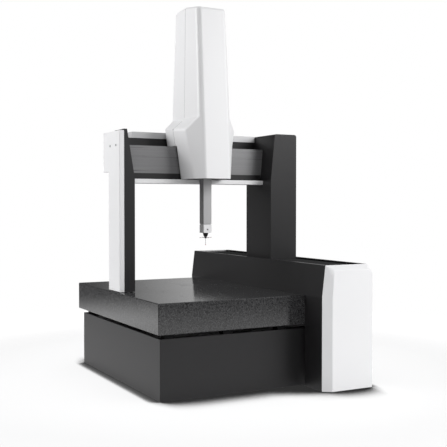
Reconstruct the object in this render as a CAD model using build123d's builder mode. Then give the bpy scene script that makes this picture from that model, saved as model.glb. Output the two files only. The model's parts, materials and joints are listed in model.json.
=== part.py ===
"""Bridge-type coordinate measuring machine.

Millimetres. X runs across the table to the right, Y runs back, Z is up, and the floor is Z 0.
The origin is on the floor, under the middle of the machine.
"""
import os

from build123d import *

os.makedirs("parts", exist_ok=True)

# Fits shared by all pieces
air_gap = 0.05          # between an air bearing and its guideway
running_gap = 0.3       # between a turning or sliding piece and its seat
cover_gap = 0.8         # open seam between two covers
tower_seam = 2.5        # open seam between the halves of the tower
lift = 3.5              # between the granite and the covers that pass over it

# Base and table
foot_height = 14.0
skirt_gap = 2.0         # between the floor and the panels that hide the feet
foot_radius = 32.0
foot_inset = 60.0
base_height = 391.5
base_width = 1413.0
base_length = 1534.0
base_left = -733.0
base_front = -776.0
base_rail = 80.0
panel_thickness = 3.0
isolator_height = 30.5
isolator_size = 64.0
isolator_inset = 36.0
table_overhang_left = 24.0
table_overhang_right = 10.0
table_overhang_front = 28.5
table_overhang_rear = 57.5
table_thickness = 205.5
table_edge = 4.0
insert_pitch_x = 300.0
insert_pitch_y = 320.0
insert_columns = 3
insert_rows = 4
insert_from_left = 620.0
insert_radius = 9.0
insert_depth = 25.0
insert_hole = 3.4
insert_glue = 0.1

base_right = base_left + base_width
base_rear = base_front + base_length
base_top = foot_height + base_height
table_left = base_left - table_overhang_left
table_right = base_right + table_overhang_right
table_front = base_front - table_overhang_front
table_rear = base_rear + table_overhang_rear
table_bottom = base_top + isolator_height
table_top = table_bottom + table_thickness
table_middle_y = (table_front + table_rear) / 2
insert_centre_x = table_left + insert_from_left

# Drive housing along the right side
housing_width = 399.5
housing_height = 219.5
housing_reach = 67.0
housing_overhang = 200.5
housing_wall = 3.0
housing_lean = 26.0
housing_kink = 3.5
inner_rim = 28.0
outer_rim = 28.0
outer_bevel = 24.0
bulkhead_thickness = 8.0
strut_size = 60.0
cap_depth = 42.5
cap_wall = 4.0
cap_left_bevel = 57.5
cap_top_lean = 18.0
cap_right_bevel = 5.0
cap_top_bevel = 35.0
cap_face_corner_x = 38.0
cap_face_corner_z = 28.0
bracket_size = 64.0
bracket_pitch = 610.0
bellows_height = 12.0
bellows_drop = 8.0
bellows_tuck = 11.0
bellows_pitch = 22.0
bellows_thickness = 2.0

housing_right = table_right + housing_reach
housing_left = housing_right - housing_width
housing_top = table_top + housing_height
housing_half_length = max(table_rear, -table_front) + housing_overhang
kink_z = table_top + housing_kink
bulkhead_inner = housing_half_length - bulkhead_thickness
slot_left = housing_left + housing_lean + inner_rim
slot_right = housing_right - outer_bevel - outer_rim

# Bridge
right_leg_inset = 92.5
right_leg_width = 230.0
right_leg_front = -194.0
right_leg_depth = 382.0
right_leg_lean = 34.0
right_leg_wall = 12.0
saddle_height = 124.0
saddle_lift = 15.5
left_leg_setback = 132.0
left_leg_width = 82.0
left_leg_front = -80.0
left_leg_lean = 59.0
left_leg_wall = 10.0
leg_rise = 353.0
leg_crown = 18.0
leg_floor_thickness = 15.0
side_cover_thickness = 36.0
side_cover_depth = 225.0
side_cover_drop = 11.0
side_cover_wall = 3.0
flag_overlap = 6.0
screw_radius = 8.0
screw_head = 3.0
screw_drop = 115.0
screw_first_y = -12.0
screw_pitch = 119.0

beam_daylight = 822.5
beam_height = 241.0
beam_front = -31.0
beam_depth = 101.0
beam_wall = 14.0
groove_height = 5.0
groove_depth = 2.0
groove_pitch = 46.0
trim_thickness = 3.0
trim_height = 43.0
ledge_height = 32.0
ledge_reach = 39.0
ledge_wall = 3.0
duct_clearance = 10.0
duct_depth = 140.0
duct_lift = 56.0
duct_height = 250.0
duct_wall = 3.0
lid_height = 47.0
lid_inset = 53.0

guide_inset = 75.0
guide_width = 80.0
guide_height = 65.0
guide_clearance = 10.0
pad_radius = 28.0
side_pad_radius = 22.0
pad_pitch_y = 280.0

right_leg_left = housing_left + right_leg_inset
right_leg_right = right_leg_left + right_leg_width
right_leg_rear = right_leg_front + right_leg_depth
right_leg_middle_y = right_leg_front + right_leg_depth / 2
saddle_bottom = table_top + saddle_lift
right_leg_bottom = saddle_bottom + saddle_height
left_leg_inner = table_left + left_leg_setback
left_leg_outer = left_leg_inner - left_leg_width
left_leg_bottom = table_top + lift
leg_floor = table_top + saddle_lift
side_cover_outer = left_leg_outer - side_cover_thickness
side_cover_rear = left_leg_front + side_cover_depth
guide_left = right_leg_left + guide_inset
beam_bottom = table_top + beam_daylight
beam_top = beam_bottom + beam_height
beam_rear = beam_front + beam_depth
ledge_top = beam_bottom - trim_thickness
ledge_bottom = ledge_top - ledge_height
ledge_front = beam_front - ledge_reach
leg_top = beam_bottom + leg_rise
side_cover_top = leg_top - side_cover_drop
screw_height = leg_top - screw_drop
duct_bottom = beam_bottom + duct_lift
duct_top = duct_bottom + duct_height

# Carriage and its tower of covers
carriage_shift = 13.5   # of the carriage at rest from the middle of the beam
tower_wall = 4.0
tower_front_bottom = -322.0
tower_front_top = -227.0
tower_front_half = 102.0
column_height = 832.0
column_facet = 28.0
column_half_bottom = 130.0
column_half_top = 120.5
column_rear_bottom = 222.0
column_rear_top = 173.0
crown_bevel_height = 14.0
crown_bevel_inset = 8.0
front_roof_slope = 0.15
rear_roof_slope = -0.05
nose_drop = 1.0
nose_height = 248.0
nose_rear = -43.0
nose_side_front = -222.0
nose_half_front = 150.0
nose_half_rear = 167.0
hull_height = 121.0
hull_side_front = -195.0
hull_half_front = 186.0
hull_half_rear = 218.0
hull_clearance = 6.0
hull_corner = 12.0
shoulder_height = 81.0
shoulder_spread = 20.0
shoulder_slope = 0.07
seam_y = -22.0
nose_plate_thickness = 4.0

block_half = 120.0
block_thickness = 20.0
block_standoff = 11.0
top_plate_thickness = 25.0
rear_standoff = 10.0
rear_plate_lift = 126.0
spine_half = 62.0
spine_clearance = 105.0
ring_height = 33.0
ring_half = 64.0
ring_front = 25.0
upper_ring_lift = 134.0
ram_pad_thickness = 5.0
ram_pad_width = 44.0

carriage_x = (left_leg_inner + right_leg_left) / 2 + carriage_shift
nose_bottom = beam_bottom - nose_drop
hull_bottom = nose_bottom + nose_height
shoulder_bottom = hull_bottom + hull_height
column_bottom = shoulder_bottom + shoulder_height
tower_top = column_bottom + column_height
spine_top = tower_top - spine_clearance
block_front = beam_front - block_standoff - block_thickness
block_rear = beam_front - block_standoff
block_bottom = nose_bottom + nose_plate_thickness
top_plate_bottom = beam_top + block_standoff
top_plate_top = top_plate_bottom + top_plate_thickness
upper_ring_bottom = top_plate_top + upper_ring_lift
rear_plate_bottom = beam_bottom + rear_plate_lift
rear_plate_front = beam_rear + rear_standoff
rear_plate_rear = rear_plate_front + block_thickness
duct_front = rear_plate_rear + duct_clearance
duct_rear = duct_front + duct_depth
hull_rear = duct_front - hull_clearance
left_leg_depth = duct_front - left_leg_front
flag_rear = duct_rear + flag_overlap
flag_bottom = duct_bottom - flag_overlap

# Ram and probe
ram_size = 68.0
ram_y = -116.0
ram_reach = 333.0
ram_length = 1120.0
ram_edge = 4.0
ram_bore = 23.3
ram_cap = 10.0
ram_floor = 15.0
rod_radius = 9.0
piston_lift = 369.0
piston_height = 40.0
rod_plate_drop = 88.0
rod_plate_thickness = 10.0
flange_thickness = 6.0
probe_height = 62.0
probe_wall = 4.0
probe_lens_radius = 5.0
probe_lens_height = 25.0
probe_lens_depth = 1.0
stage_size = 48.0
stage_thickness = 8.0
bush_radius = 14.0
bush_length = 20.0
pin_radius = 8.0
probe_travel = 2.0
carrier_top_radius = 26.0
carrier_bottom_radius = 15.0
carrier_overlap = 17.0
carrier_height = 40.0
adapter_radius = 12.5
adapter_thickness = 6.0
star_size = 12.0
stylus_radius = 1.5
stylus_reach = 46.0
stylus_ball = 3.0
stylus_length = 70.0

ram_bottom = beam_bottom - ram_reach
ram_top = ram_bottom + ram_length
piston_bottom = ram_bottom + piston_lift
rod_plate_bottom = spine_top - rod_plate_drop
probe_top = ram_bottom - flange_thickness
probe_bottom = probe_top - probe_height
ram_front = ram_y - ram_size / 2
carrier_top = probe_bottom + carrier_overlap
carrier_bottom = carrier_top - carrier_height
stylus_tip = carrier_bottom - stylus_length

# Toothed belt drives
y_pulley_radius = 30.0
y_pulley_inset = 68.0
y_belt_width = 16.0
y_belt_offset = 8.0
y_belt_height = 68.5
rail_width = 35.0
rail_height = 80.0
x_pulley_radius = 22.0
x_pulley_inset = 45.0
x_belt_lift = 86.0
x_belt_width = 12.0
x_belt_offset = 5.0
z_pulley_radius = 20.0
z_pulley_drop = 40.0
z_pulley_lift = 59.0
z_belt_width = 14.0
z_belt_offset = 71.0
belt_thickness = 2.0
flange_rise = 1.8
flange_width = 1.5
drive_plate = 5.0
shaft_radius = 7.0
motor_size = 90.0
motor_head = 32.0
motor_radius = 40.0
motor_length = 98.0
motor_corner = 11.0
x_motor_radius = 30.0
x_motor_length = 60.0
z_motor_size = 68.0
z_motor_length = 105.0
z_motor_corner = 8.0
scale_thickness = 1.0
y_scale_width = 20.0
x_scale_width = 16.0

rail_right = table_right + rail_width
y_belt_left = table_right + y_belt_offset
y_pulley_y = bulkhead_inner - y_pulley_inset
y_pulley_z = table_top + y_belt_height
x_belt_z = beam_bottom + x_belt_lift
z_pulley_top = spine_top - z_pulley_drop
z_pulley_bottom = top_plate_top + z_pulley_lift
x_belt_front = beam_rear + x_belt_offset


def finish(name, builder):
    """Label a finished piece and write it to its own file."""
    builder.part.label = name
    export_step(builder.part, f"parts/{name}.step")


def left_inner(z):
    """X of the left leg's inner face, which leans outward above the beam's underside."""
    return left_leg_inner - left_leg_lean * max(0.0, z - beam_bottom) / (leg_top - beam_bottom)


def right_inner(z):
    """X of the right leg's inner face, which leans outward above the beam's underside."""
    return right_leg_left + right_leg_lean * max(0.0, z - beam_bottom) / (leg_top - beam_bottom)


def between_legs(bottom, top, front, depth):
    """Fill the space between the two leaning legs from one height to another."""
    with BuildSketch(Plane.XZ.offset(-front)) as gap_outline:
        with BuildLine():
            Polyline(
                (left_inner(bottom), bottom),
                (right_inner(bottom), bottom),
                (right_inner(top), top),
                (left_inner(top), top),
                close=True,
            )
        make_face()
    extrude(gap_outline.sketch, amount=-depth)


def slab(x, y, z, mode=Mode.ADD):
    """A plain block between three pairs of limits."""
    with BuildSketch(Plane.XY.offset(z[0]), mode=Mode.PRIVATE) as outline:
        with Locations(((x[0] + x[1]) / 2, (y[0] + y[1]) / 2)):
            Rectangle(x[1] - x[0], y[1] - y[0])
    extrude(outline.sketch, amount=z[1] - z[0], mode=mode)


# Levelling feet under the base and under both ends of the drive housing
with BuildPart() as levelling_feet:
    base_middle = ((base_left + base_right) / 2, (base_front + base_rear) / 2)
    with BuildSketch() as foot_places:
        with Locations(base_middle):
            with GridLocations(base_width - 2 * foot_inset, base_length - 2 * foot_inset, 2, 2):
                Circle(foot_radius)
        with Locations(((housing_left + housing_right) / 2, 0)):
            housing_span = housing_right - housing_left - 2 * foot_inset
            with GridLocations(housing_span, 2 * (bulkhead_inner - foot_radius), 2, 2):
                Circle(foot_radius)
    extrude(amount=foot_height)
finish("levelling_feet", levelling_feet)

# Welded base frame: a bottom ring, a top ring and six posts
with BuildPart() as base_frame:
    frame_width = base_width - 2 * panel_thickness
    frame_length = base_length - 2 * panel_thickness
    for ring_z in (foot_height, base_top - base_rail):
        with BuildSketch(Plane.XY.offset(ring_z)):
            with Locations(base_middle):
                Rectangle(frame_width, frame_length)
                Rectangle(frame_width - 2 * base_rail, frame_length - 2 * base_rail, mode=Mode.SUBTRACT)
                Rectangle(base_rail, frame_length - base_rail)
        extrude(amount=base_rail)
    with BuildSketch(Plane.XY.offset(foot_height)):
        with Locations(base_middle):
            with GridLocations((frame_width - base_rail) / 2, frame_length - base_rail, 3, 2):
                Rectangle(base_rail, base_rail)
    extrude(amount=base_height)
finish("base_frame", base_frame)

# Four sheet panels that clad the base
with BuildPart() as base_panels:
    panel_z = (skirt_gap, base_top)
    for panel_front in (base_front, base_rear - panel_thickness):
        slab((base_left, base_right), (panel_front, panel_front + panel_thickness), panel_z)
    panel_seam = panel_thickness + cover_gap
    for panel_left in (base_left, base_right - panel_thickness):
        panel_x = (panel_left, panel_left + panel_thickness)
        slab(panel_x, (base_front + panel_seam, base_rear - panel_seam), panel_z)
finish("base_panels", base_panels)

# Rubber and steel isolators between the base and the table
with BuildPart() as isolators:
    isolator_span = (base_width - 2 * isolator_inset - isolator_size) / 3
    isolator_length = base_length - 2 * isolator_inset
    with BuildSketch(Plane.XY.offset(base_top)):
        with Locations(base_middle):
            with GridLocations(isolator_span, isolator_length, 4, 2):
                Rectangle(isolator_size, isolator_size)
    extrude(amount=isolator_height)
finish("isolators", isolators)

# Granite table with glued-in threaded inserts
with BuildPart() as granite_table:
    slab((table_left, table_right), (table_front, table_rear), (table_bottom, table_top))
    chamfer(granite_table.edges(), table_edge)
    with BuildSketch(Plane.XY.offset(table_top)):
        with Locations((insert_centre_x, table_middle_y)):
            with GridLocations(insert_pitch_x, insert_pitch_y, insert_columns, insert_rows):
                Circle(insert_radius + insert_glue)
    extrude(amount=-insert_depth, mode=Mode.SUBTRACT)
finish("granite_table", granite_table)

with BuildPart() as table_inserts:
    with BuildSketch(Plane.XY.offset(table_top)):
        with Locations((insert_centre_x, table_middle_y)):
            with GridLocations(insert_pitch_x, insert_pitch_y, insert_columns, insert_rows):
                Circle(insert_radius)
                Circle(insert_hole, mode=Mode.SUBTRACT)
    extrude(amount=-insert_depth)
finish("table_inserts", table_inserts)

# Raised guideway bar that steers the bridge along the table
with BuildPart() as y_guideway:
    guide_x = (guide_left, guide_left + guide_width)
    slab(guide_x, (table_front, table_rear), (table_top, table_top + guide_height))
    chamfer(y_guideway.edges().filter_by(Axis.Y).group_by(Axis.Z)[-1], table_edge)
finish("y_guideway", y_guideway)


# Drive housing: sheet walls along Y, made from a folded line
def folded_wall(points, side):
    """A folded sheet of the housing's wall thickness that runs the length of the housing."""
    with BuildSketch(Plane.XZ.offset(-housing_half_length)) as wall_section:
        with BuildLine():
            fold = Polyline(*points)
            offset(fold, amount=housing_wall, kind=Kind.INTERSECTION, side=side)
        make_face()
    extrude(wall_section.sketch, amount=2 * housing_half_length)


with BuildPart() as housing_inner_wall:
    folded_wall(
        (
            (housing_left + inner_rim, table_top),
            (housing_left, table_top),
            (housing_left, kink_z),
            (housing_left + housing_lean, housing_top),
            (slot_left, housing_top),
        ),
        Side.RIGHT,
    )
finish("housing_inner_wall", housing_inner_wall)

with BuildPart() as housing_outer_wall:
    folded_wall(
        (
            (housing_right, skirt_gap),
            (housing_right, housing_top - outer_bevel),
            (housing_right - outer_bevel, housing_top),
            (slot_right, housing_top),
        ),
        Side.LEFT,
    )
finish("housing_outer_wall", housing_outer_wall)

# Housing frame: bulkheads tied to the table by struts, and brackets for the outer wall
with BuildPart() as housing_frame:
    bracket_top = table_top - rail_height - lift
    for bracket_y in (-bracket_pitch, 0, bracket_pitch):
        slab(
            (table_right, housing_right - housing_wall),
            (bracket_y - bracket_size / 2, bracket_y + bracket_size / 2),
            (bracket_top - bracket_size, bracket_top),
        )
    bulkhead_x = (housing_left + housing_wall, housing_right - housing_wall)
    bulkhead_top = housing_top - outer_bevel - housing_wall
    neck_left = housing_left + max(inner_rim, housing_lean) + housing_wall
    strut_z = (table_bottom + strut_size, table_bottom + 2 * strut_size)
    for end, table_end in ((-1, table_front), (1, table_rear)):
        plate_y = sorted((end * bulkhead_inner, end * housing_half_length))
        slab(bulkhead_x, plate_y, (foot_height, table_top))
        slab((neck_left, bulkhead_x[1]), plate_y, (table_top, bulkhead_top))
        floor_y = sorted((end * (bulkhead_inner - 2 * foot_radius), end * bulkhead_inner))
        slab(bulkhead_x, floor_y, (foot_height, foot_height + bulkhead_thickness))
        strut_y = sorted((end * bulkhead_inner, table_end))
        for strut_x in (bulkhead_x[0] + strut_size, table_right - 2 * strut_size):
            slab((strut_x, strut_x + strut_size), strut_y, strut_z)
finish("housing_frame", housing_frame)

# Dark side panels below table height where the housing stands past the table
with BuildPart() as housing_side_panels:
    for end, table_end in ((-1, table_front), (1, table_rear)):
        slab(
            (housing_left, housing_left + housing_wall),
            sorted((end * housing_half_length, table_end + end * panel_thickness)),
            (skirt_gap, table_top),
        )
finish("housing_side_panels", housing_side_panels)


# White end caps with bevelled edges
def cap_section(inset, y, bevelled):
    """Outline of an end cap: the housing's section, or the smaller front face."""
    left = housing_left + inset
    right = housing_right - inset
    top = housing_top - inset
    bottom = skirt_gap + inset
    top_left = left + housing_lean
    corner_x = outer_bevel
    corner_z = outer_bevel
    if bevelled:
        left += cap_left_bevel
        top_left = left + cap_top_lean
        right -= cap_right_bevel
        top -= cap_top_bevel
        corner_x = cap_face_corner_x
        corner_z = cap_face_corner_z
    with BuildSketch(Plane.XZ.offset(-y)) as section:
        with BuildLine():
            Polyline(
                (left, bottom),
                (right, bottom),
                (right, top - corner_z),
                (right - corner_x, top),
                (top_left, top),
                (left, kink_z),
                close=True,
            )
        make_face()
    return section.sketch


for cap_name, end in (("front_end_cap", -1), ("rear_end_cap", 1)):
    with BuildPart() as end_cap:
        open_y = end * housing_half_length
        face_y = end * (housing_half_length + cap_depth)
        loft([cap_section(0, open_y, False), cap_section(0, face_y, True)], ruled=True)
        inner_sections = [
            cap_section(cap_wall, open_y, False),
            cap_section(cap_wall, face_y - end * cap_wall, True),
        ]
        loft(inner_sections, ruled=True, mode=Mode.SUBTRACT)
    finish(cap_name, end_cap)

# Pleated bellows over the slot, from the bulkheads to the right leg
bellows_top = housing_top - housing_wall - bellows_drop
bellows_x = (slot_left - bellows_tuck, slot_right + bellows_tuck)
for bellows_name, bellows_start, bellows_end in (
    ("front_bellows", -bulkhead_inner, right_leg_front),
    ("rear_bellows", right_leg_rear, bulkhead_inner),
):
    pleats = round((bellows_end - bellows_start) / bellows_pitch)
    half_pleat = (bellows_end - bellows_start) / (2 * pleats)
    crest = [
        (bellows_start + i * half_pleat, bellows_top - (bellows_height if i % 2 else 0))
        for i in range(2 * pleats + 1)
    ]
    trough = [(y, z - bellows_thickness) for y, z in reversed(crest)]
    with BuildPart() as bellows:
        with BuildSketch(Plane.YZ.offset(bellows_x[0])):
            with BuildLine():
                Polyline(*crest, *trough, close=True)
            make_face()
        extrude(amount=bellows_x[1] - bellows_x[0])
    finish(bellows_name, bellows)


# Belt drives: a loop, flanged pulleys and their shafts, drawn on the plane of the loop
def belt_loop(plane, centre, span, radius, width, upright):
    """A closed belt round two pulleys of the same radius."""
    turn = 90 if upright else 0
    with BuildSketch(plane) as loop:
        with Locations(centre):
            SlotCenterToCenter(span, 2 * (radius + belt_thickness), rotation=turn)
            SlotCenterToCenter(span, 2 * radius, rotation=turn, mode=Mode.SUBTRACT)
    extrude(loop.sketch, amount=width)


def pulley(plane, centre, radius, width, shaft_start, shaft_end):
    """A flanged pulley on its shaft, which runs along the plane's normal."""
    rim = radius - running_gap
    for start, length, size in (
        (0, width, rim),
        (-flange_width, flange_width, radius + flange_rise),
        (width, flange_width, radius + flange_rise),
        (shaft_start, shaft_end - shaft_start, shaft_radius),
    ):
        with BuildSketch(plane.offset(start)) as disc:
            with Locations(centre):
                Circle(size)
        extrude(disc.sketch, amount=length)


# Y drive on a rail beside the table
with BuildPart() as y_drive_rail:
    slab(
        (table_right, rail_right),
        (-bulkhead_inner, bulkhead_inner),
        (table_top - rail_height, table_top),
    )
    for plate_y in (-y_pulley_y, y_pulley_y):
        plate_half = y_pulley_radius + 2 * shaft_radius
        slab(
            (table_right, table_right + drive_plate),
            (plate_y - plate_half, plate_y + plate_half),
            (table_top, y_pulley_z + plate_half),
        )
    with BuildSketch(Plane.YZ.offset(table_right)):
        with Locations((-y_pulley_y, y_pulley_z), (y_pulley_y, y_pulley_z)):
            Circle(shaft_radius + running_gap)
    extrude(amount=drive_plate, mode=Mode.SUBTRACT)
finish("y_drive_rail", y_drive_rail)

y_plane = Plane.YZ.offset(y_belt_left)
with BuildPart() as y_belt:
    belt_loop(y_plane, (0, y_pulley_z), 2 * y_pulley_y, y_pulley_radius, y_belt_width, False)
finish("y_belt", y_belt)

y_shaft_start = -y_belt_offset
y_shaft_end = y_belt_width + 2 * flange_width
for pulley_name, pulley_y in (("y_idler_pulley", -y_pulley_y), ("y_drive_pulley", y_pulley_y)):
    with BuildPart() as y_pulley:
        pulley(y_plane, (pulley_y, y_pulley_z), y_pulley_radius, y_belt_width, y_shaft_start, y_shaft_end)
    finish(pulley_name, y_pulley)

with BuildPart() as y_motor:
    with BuildSketch(Plane.YZ.offset(table_right)):
        with Locations((y_pulley_y, y_pulley_z)):
            RectangleRounded(motor_size, motor_size, motor_corner)
    extrude(amount=-motor_head)
    with BuildSketch(Plane.YZ.offset(table_right - motor_head)):
        with Locations((y_pulley_y, y_pulley_z)):
            Circle(motor_radius)
    extrude(amount=-motor_length)
finish("y_motor", y_motor)

# Scale tape that the bridge reads along the guideway
with BuildPart() as y_scale:
    scale_x = guide_left + guide_width / 2
    scale_z = table_top + guide_height
    slab(
        (scale_x - y_scale_width / 2, scale_x + y_scale_width / 2),
        (table_front, table_rear),
        (scale_z, scale_z + scale_thickness),
    )
finish("y_scale", y_scale)

# Saddle that straddles the guideway and carries the right leg
with BuildPart() as right_saddle:
    slab(
        (right_leg_left, right_leg_right),
        (right_leg_front, right_leg_rear),
        (saddle_bottom, right_leg_bottom),
    )
    slab(
        (guide_left - guide_clearance, guide_left + guide_width + guide_clearance),
        (right_leg_front, right_leg_rear),
        (saddle_bottom, table_top + guide_height + guide_clearance),
        mode=Mode.SUBTRACT,
    )
finish("right_saddle", right_saddle)

# Air bearings under the saddle, beside the guideway and under the left leg
with BuildPart() as bridge_air_bearings:
    lane_left = (right_leg_left + guide_left - guide_clearance) / 2
    lane_right = (right_leg_right + guide_left + guide_width + guide_clearance) / 2
    pad_rows = (right_leg_middle_y - pad_pitch_y / 2, right_leg_middle_y + pad_pitch_y / 2)
    with BuildSketch(Plane.XY.offset(table_top + air_gap)):
        with Locations(*[(lane, row) for lane in (lane_left, lane_right) for row in pad_rows]):
            Circle(pad_radius)
    extrude(amount=saddle_lift - air_gap)
    side_pad_z = saddle_bottom + side_pad_radius
    for side_x, away in ((guide_left, -1), (guide_left + guide_width, 1)):
        with BuildSketch(Plane.YZ.offset(side_x + away * air_gap)):
            with Locations(*[(row, side_pad_z) for row in pad_rows]):
                Circle(side_pad_radius)
        extrude(amount=away * (guide_clearance - air_gap))
    left_lane = left_leg_outer + left_leg_width / 2
    left_pad_radius = min(pad_radius, left_leg_width / 2 - left_leg_wall - running_gap)
    with BuildSketch(Plane.XY.offset(table_top + air_gap)):
        with Locations((left_lane, left_leg_front + left_leg_depth / 2)):
            with GridLocations(left_leg_width, left_leg_depth / 2, 1, 2):
                Circle(left_pad_radius)
    extrude(amount=saddle_lift - air_gap)
finish("bridge_air_bearings", bridge_air_bearings)

# Arm that grips the upper run of the belt
with BuildPart() as y_belt_clamp:
    grip_z = y_pulley_z + y_pulley_radius + belt_thickness + running_gap
    clamp_y = (right_leg_middle_y - bracket_size / 2, right_leg_middle_y + bracket_size / 2)
    slab((right_leg_right, y_belt_left + y_belt_width), clamp_y, (grip_z, grip_z + bracket_size / 4))
    jaw_top = y_pulley_z + y_pulley_radius - running_gap
    slab((right_leg_right, y_belt_left + y_belt_width), clamp_y, (jaw_top - drive_plate, jaw_top))
    slab((right_leg_right, y_belt_left - running_gap), clamp_y, (jaw_top - drive_plate, grip_z))
finish("y_belt_clamp", y_belt_clamp)

# Right leg: a hollow column whose inner face leans outward above the beam
with BuildPart() as right_leg:
    with BuildSketch(Plane.XZ.offset(-right_leg_front)):
        with BuildLine():
            Polyline(
                (right_leg_left, right_leg_bottom),
                (right_leg_right, right_leg_bottom),
                (right_leg_right, leg_top),
                (right_inner(leg_top), leg_top),
                (right_leg_left, beam_bottom),
                close=True,
            )
        leg_face = make_face()
        fillet(leg_face.vertices().group_by(Axis.Z)[-1], leg_crown)
    extrude(amount=-right_leg_depth)
    with BuildSketch(Plane.XZ.offset(-right_leg_front - right_leg_wall)):
        offset(leg_face, amount=-right_leg_wall)
    extrude(amount=-(right_leg_depth - 2 * right_leg_wall), mode=Mode.SUBTRACT)
finish("right_leg", right_leg)

# Left leg: a thinner hollow column that floats on the table
with BuildPart() as left_leg:
    with BuildSketch(Plane.XZ.offset(-left_leg_front)):
        with BuildLine():
            Polyline(
                (left_leg_outer, left_leg_bottom),
                (left_leg_inner, left_leg_bottom),
                (left_leg_inner, beam_bottom),
                (left_inner(leg_top), leg_top),
                (left_leg_outer, leg_top),
                close=True,
            )
        left_face = make_face()
        inner_corner = left_face.vertices().group_by(Axis.Z)[-1].sort_by(Axis.X)[-1]
        fillet(inner_corner, min(leg_crown, left_leg_width - left_leg_lean - side_cover_wall))
    extrude(amount=-left_leg_depth)
    with BuildSketch(Plane.XZ.offset(-left_leg_front - left_leg_wall)):
        with BuildLine():
            cavity_floor = leg_floor + leg_floor_thickness
            cavity_top = beam_bottom
            Polyline(
                (left_leg_outer + left_leg_wall, cavity_floor),
                (left_leg_inner - left_leg_wall, cavity_floor),
                (left_leg_inner - left_leg_wall, cavity_top),
                (left_leg_outer + left_leg_wall, cavity_top),
                close=True,
            )
        make_face()
    extrude(amount=-(left_leg_depth - 2 * left_leg_wall), mode=Mode.SUBTRACT)
    slab(
        (left_leg_outer + left_leg_wall, left_leg_inner - left_leg_wall),
        (left_leg_front + left_leg_wall, duct_front - left_leg_wall),
        (left_leg_bottom, leg_floor),
        mode=Mode.SUBTRACT,
    )
finish("left_leg", left_leg)


# White cover on the left leg, with a flag that closes the end of the rear duct
def side_cover_outline(x, inset):
    """Side view of the left cover: a tall strip with a flag at its top rear."""
    with BuildSketch(Plane.YZ.offset(x)) as outline:
        with BuildLine():
            Polyline(
                (left_leg_front + inset, left_leg_bottom + inset),
                (side_cover_rear - inset, left_leg_bottom + inset),
                (side_cover_rear - inset, flag_bottom + inset),
                (flag_rear - inset, flag_bottom + inset),
                (flag_rear - inset, side_cover_top - inset),
                (left_leg_front + inset, side_cover_top - inset),
                close=True,
            )
        make_face()
    return outline.sketch


with BuildPart() as left_leg_cover:
    extrude(side_cover_outline(side_cover_outer, 0), amount=side_cover_thickness)
    chamfer(left_leg_cover.faces().sort_by(Axis.X)[0].edges(), side_cover_wall)
    cavity = side_cover_outline(side_cover_outer + side_cover_wall, side_cover_wall)
    extrude(cavity, amount=side_cover_thickness - side_cover_wall, mode=Mode.SUBTRACT)
finish("left_leg_cover", left_leg_cover)

with BuildPart() as cover_screws:
    with BuildSketch(Plane.YZ.offset(side_cover_outer)):
        with Locations((screw_first_y, screw_height), (screw_first_y + screw_pitch, screw_height)):
            Circle(screw_radius)
    extrude(amount=-screw_head)
finish("cover_screws", cover_screws)

# Hollow beam with shallow grooves along its front guideway
with BuildPart() as x_beam:
    between_legs(beam_bottom, beam_top, beam_front, beam_depth)
    slab(
        (left_leg_outer, right_leg_right),
        (beam_front + beam_wall, beam_rear - beam_wall),
        (beam_bottom + beam_wall, beam_top - beam_wall),
        mode=Mode.SUBTRACT,
    )
    groove_middle = beam_bottom + beam_height / 2 + groove_pitch
    for groove_z in (groove_middle, groove_middle + groove_pitch):
        slab(
            (left_leg_outer, right_leg_right),
            (beam_front, beam_front + groove_depth),
            (groove_z - groove_height / 2, groove_z + groove_height / 2),
            mode=Mode.SUBTRACT,
        )
    shaft_columns = (left_leg_inner + x_pulley_inset, right_leg_left - x_pulley_inset)
    with BuildSketch(Plane.XZ.offset(-beam_rear)):
        with Locations(*[(column, x_belt_z) for column in shaft_columns]):
            Circle(shaft_radius + running_gap)
    extrude(amount=beam_wall, mode=Mode.SUBTRACT)
finish("x_beam", x_beam)

with BuildPart() as beam_lower_trim:
    slab(
        (left_leg_inner, right_leg_left),
        (beam_front - trim_thickness, beam_rear),
        (ledge_top, beam_bottom),
    )
    slab(
        (left_leg_inner, right_leg_left),
        (beam_front - trim_thickness, beam_front),
        (beam_bottom, ledge_top + trim_height),
    )
finish("beam_lower_trim", beam_lower_trim)

with BuildPart() as beam_ledge:
    slab((left_leg_inner, right_leg_left), (ledge_front, beam_rear), (ledge_bottom, ledge_top))
    fillet(beam_ledge.edges().filter_by(Axis.X).group_by(Axis.Y)[0], ledge_wall)
    slab(
        (left_leg_inner, right_leg_left),
        (ledge_front + ledge_wall, beam_rear - ledge_wall),
        (ledge_bottom + ledge_wall, ledge_top - ledge_wall),
        mode=Mode.SUBTRACT,
    )
finish("beam_ledge", beam_ledge)

# Duct behind the beam and the left leg for cables and air, with its lid
with BuildPart() as rear_duct:
    with BuildSketch(Plane.XZ.offset(-duct_front)):
        with BuildLine():
            Polyline(
                (left_leg_outer, duct_bottom),
                (right_inner(duct_bottom), duct_bottom),
                (right_inner(duct_top), duct_top),
                (left_leg_outer, duct_top),
                close=True,
            )
        make_face()
    extrude(amount=-duct_depth)
    slab(
        (left_leg_outer + duct_wall, right_inner(duct_bottom) - duct_wall),
        (duct_front + duct_wall, duct_rear - duct_wall),
        (duct_bottom + duct_wall, duct_top - duct_wall),
        mode=Mode.SUBTRACT,
    )
finish("rear_duct", rear_duct)

with BuildPart() as rear_duct_lid:
    lid_x = (left_leg_inner + lid_inset, right_inner(duct_top))
    slab(lid_x, (duct_front, duct_rear), (duct_top, duct_top + lid_height))
    chamfer(rear_duct_lid.edges().filter_by(Axis.X).group_by(Axis.Z)[-1], duct_wall)
    slab(
        (lid_x[0] + duct_wall, lid_x[1] - duct_wall),
        (duct_front + duct_wall, duct_rear - duct_wall),
        (duct_top, duct_top + lid_height - duct_wall),
        mode=Mode.SUBTRACT,
    )
finish("rear_duct_lid", rear_duct_lid)

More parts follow.
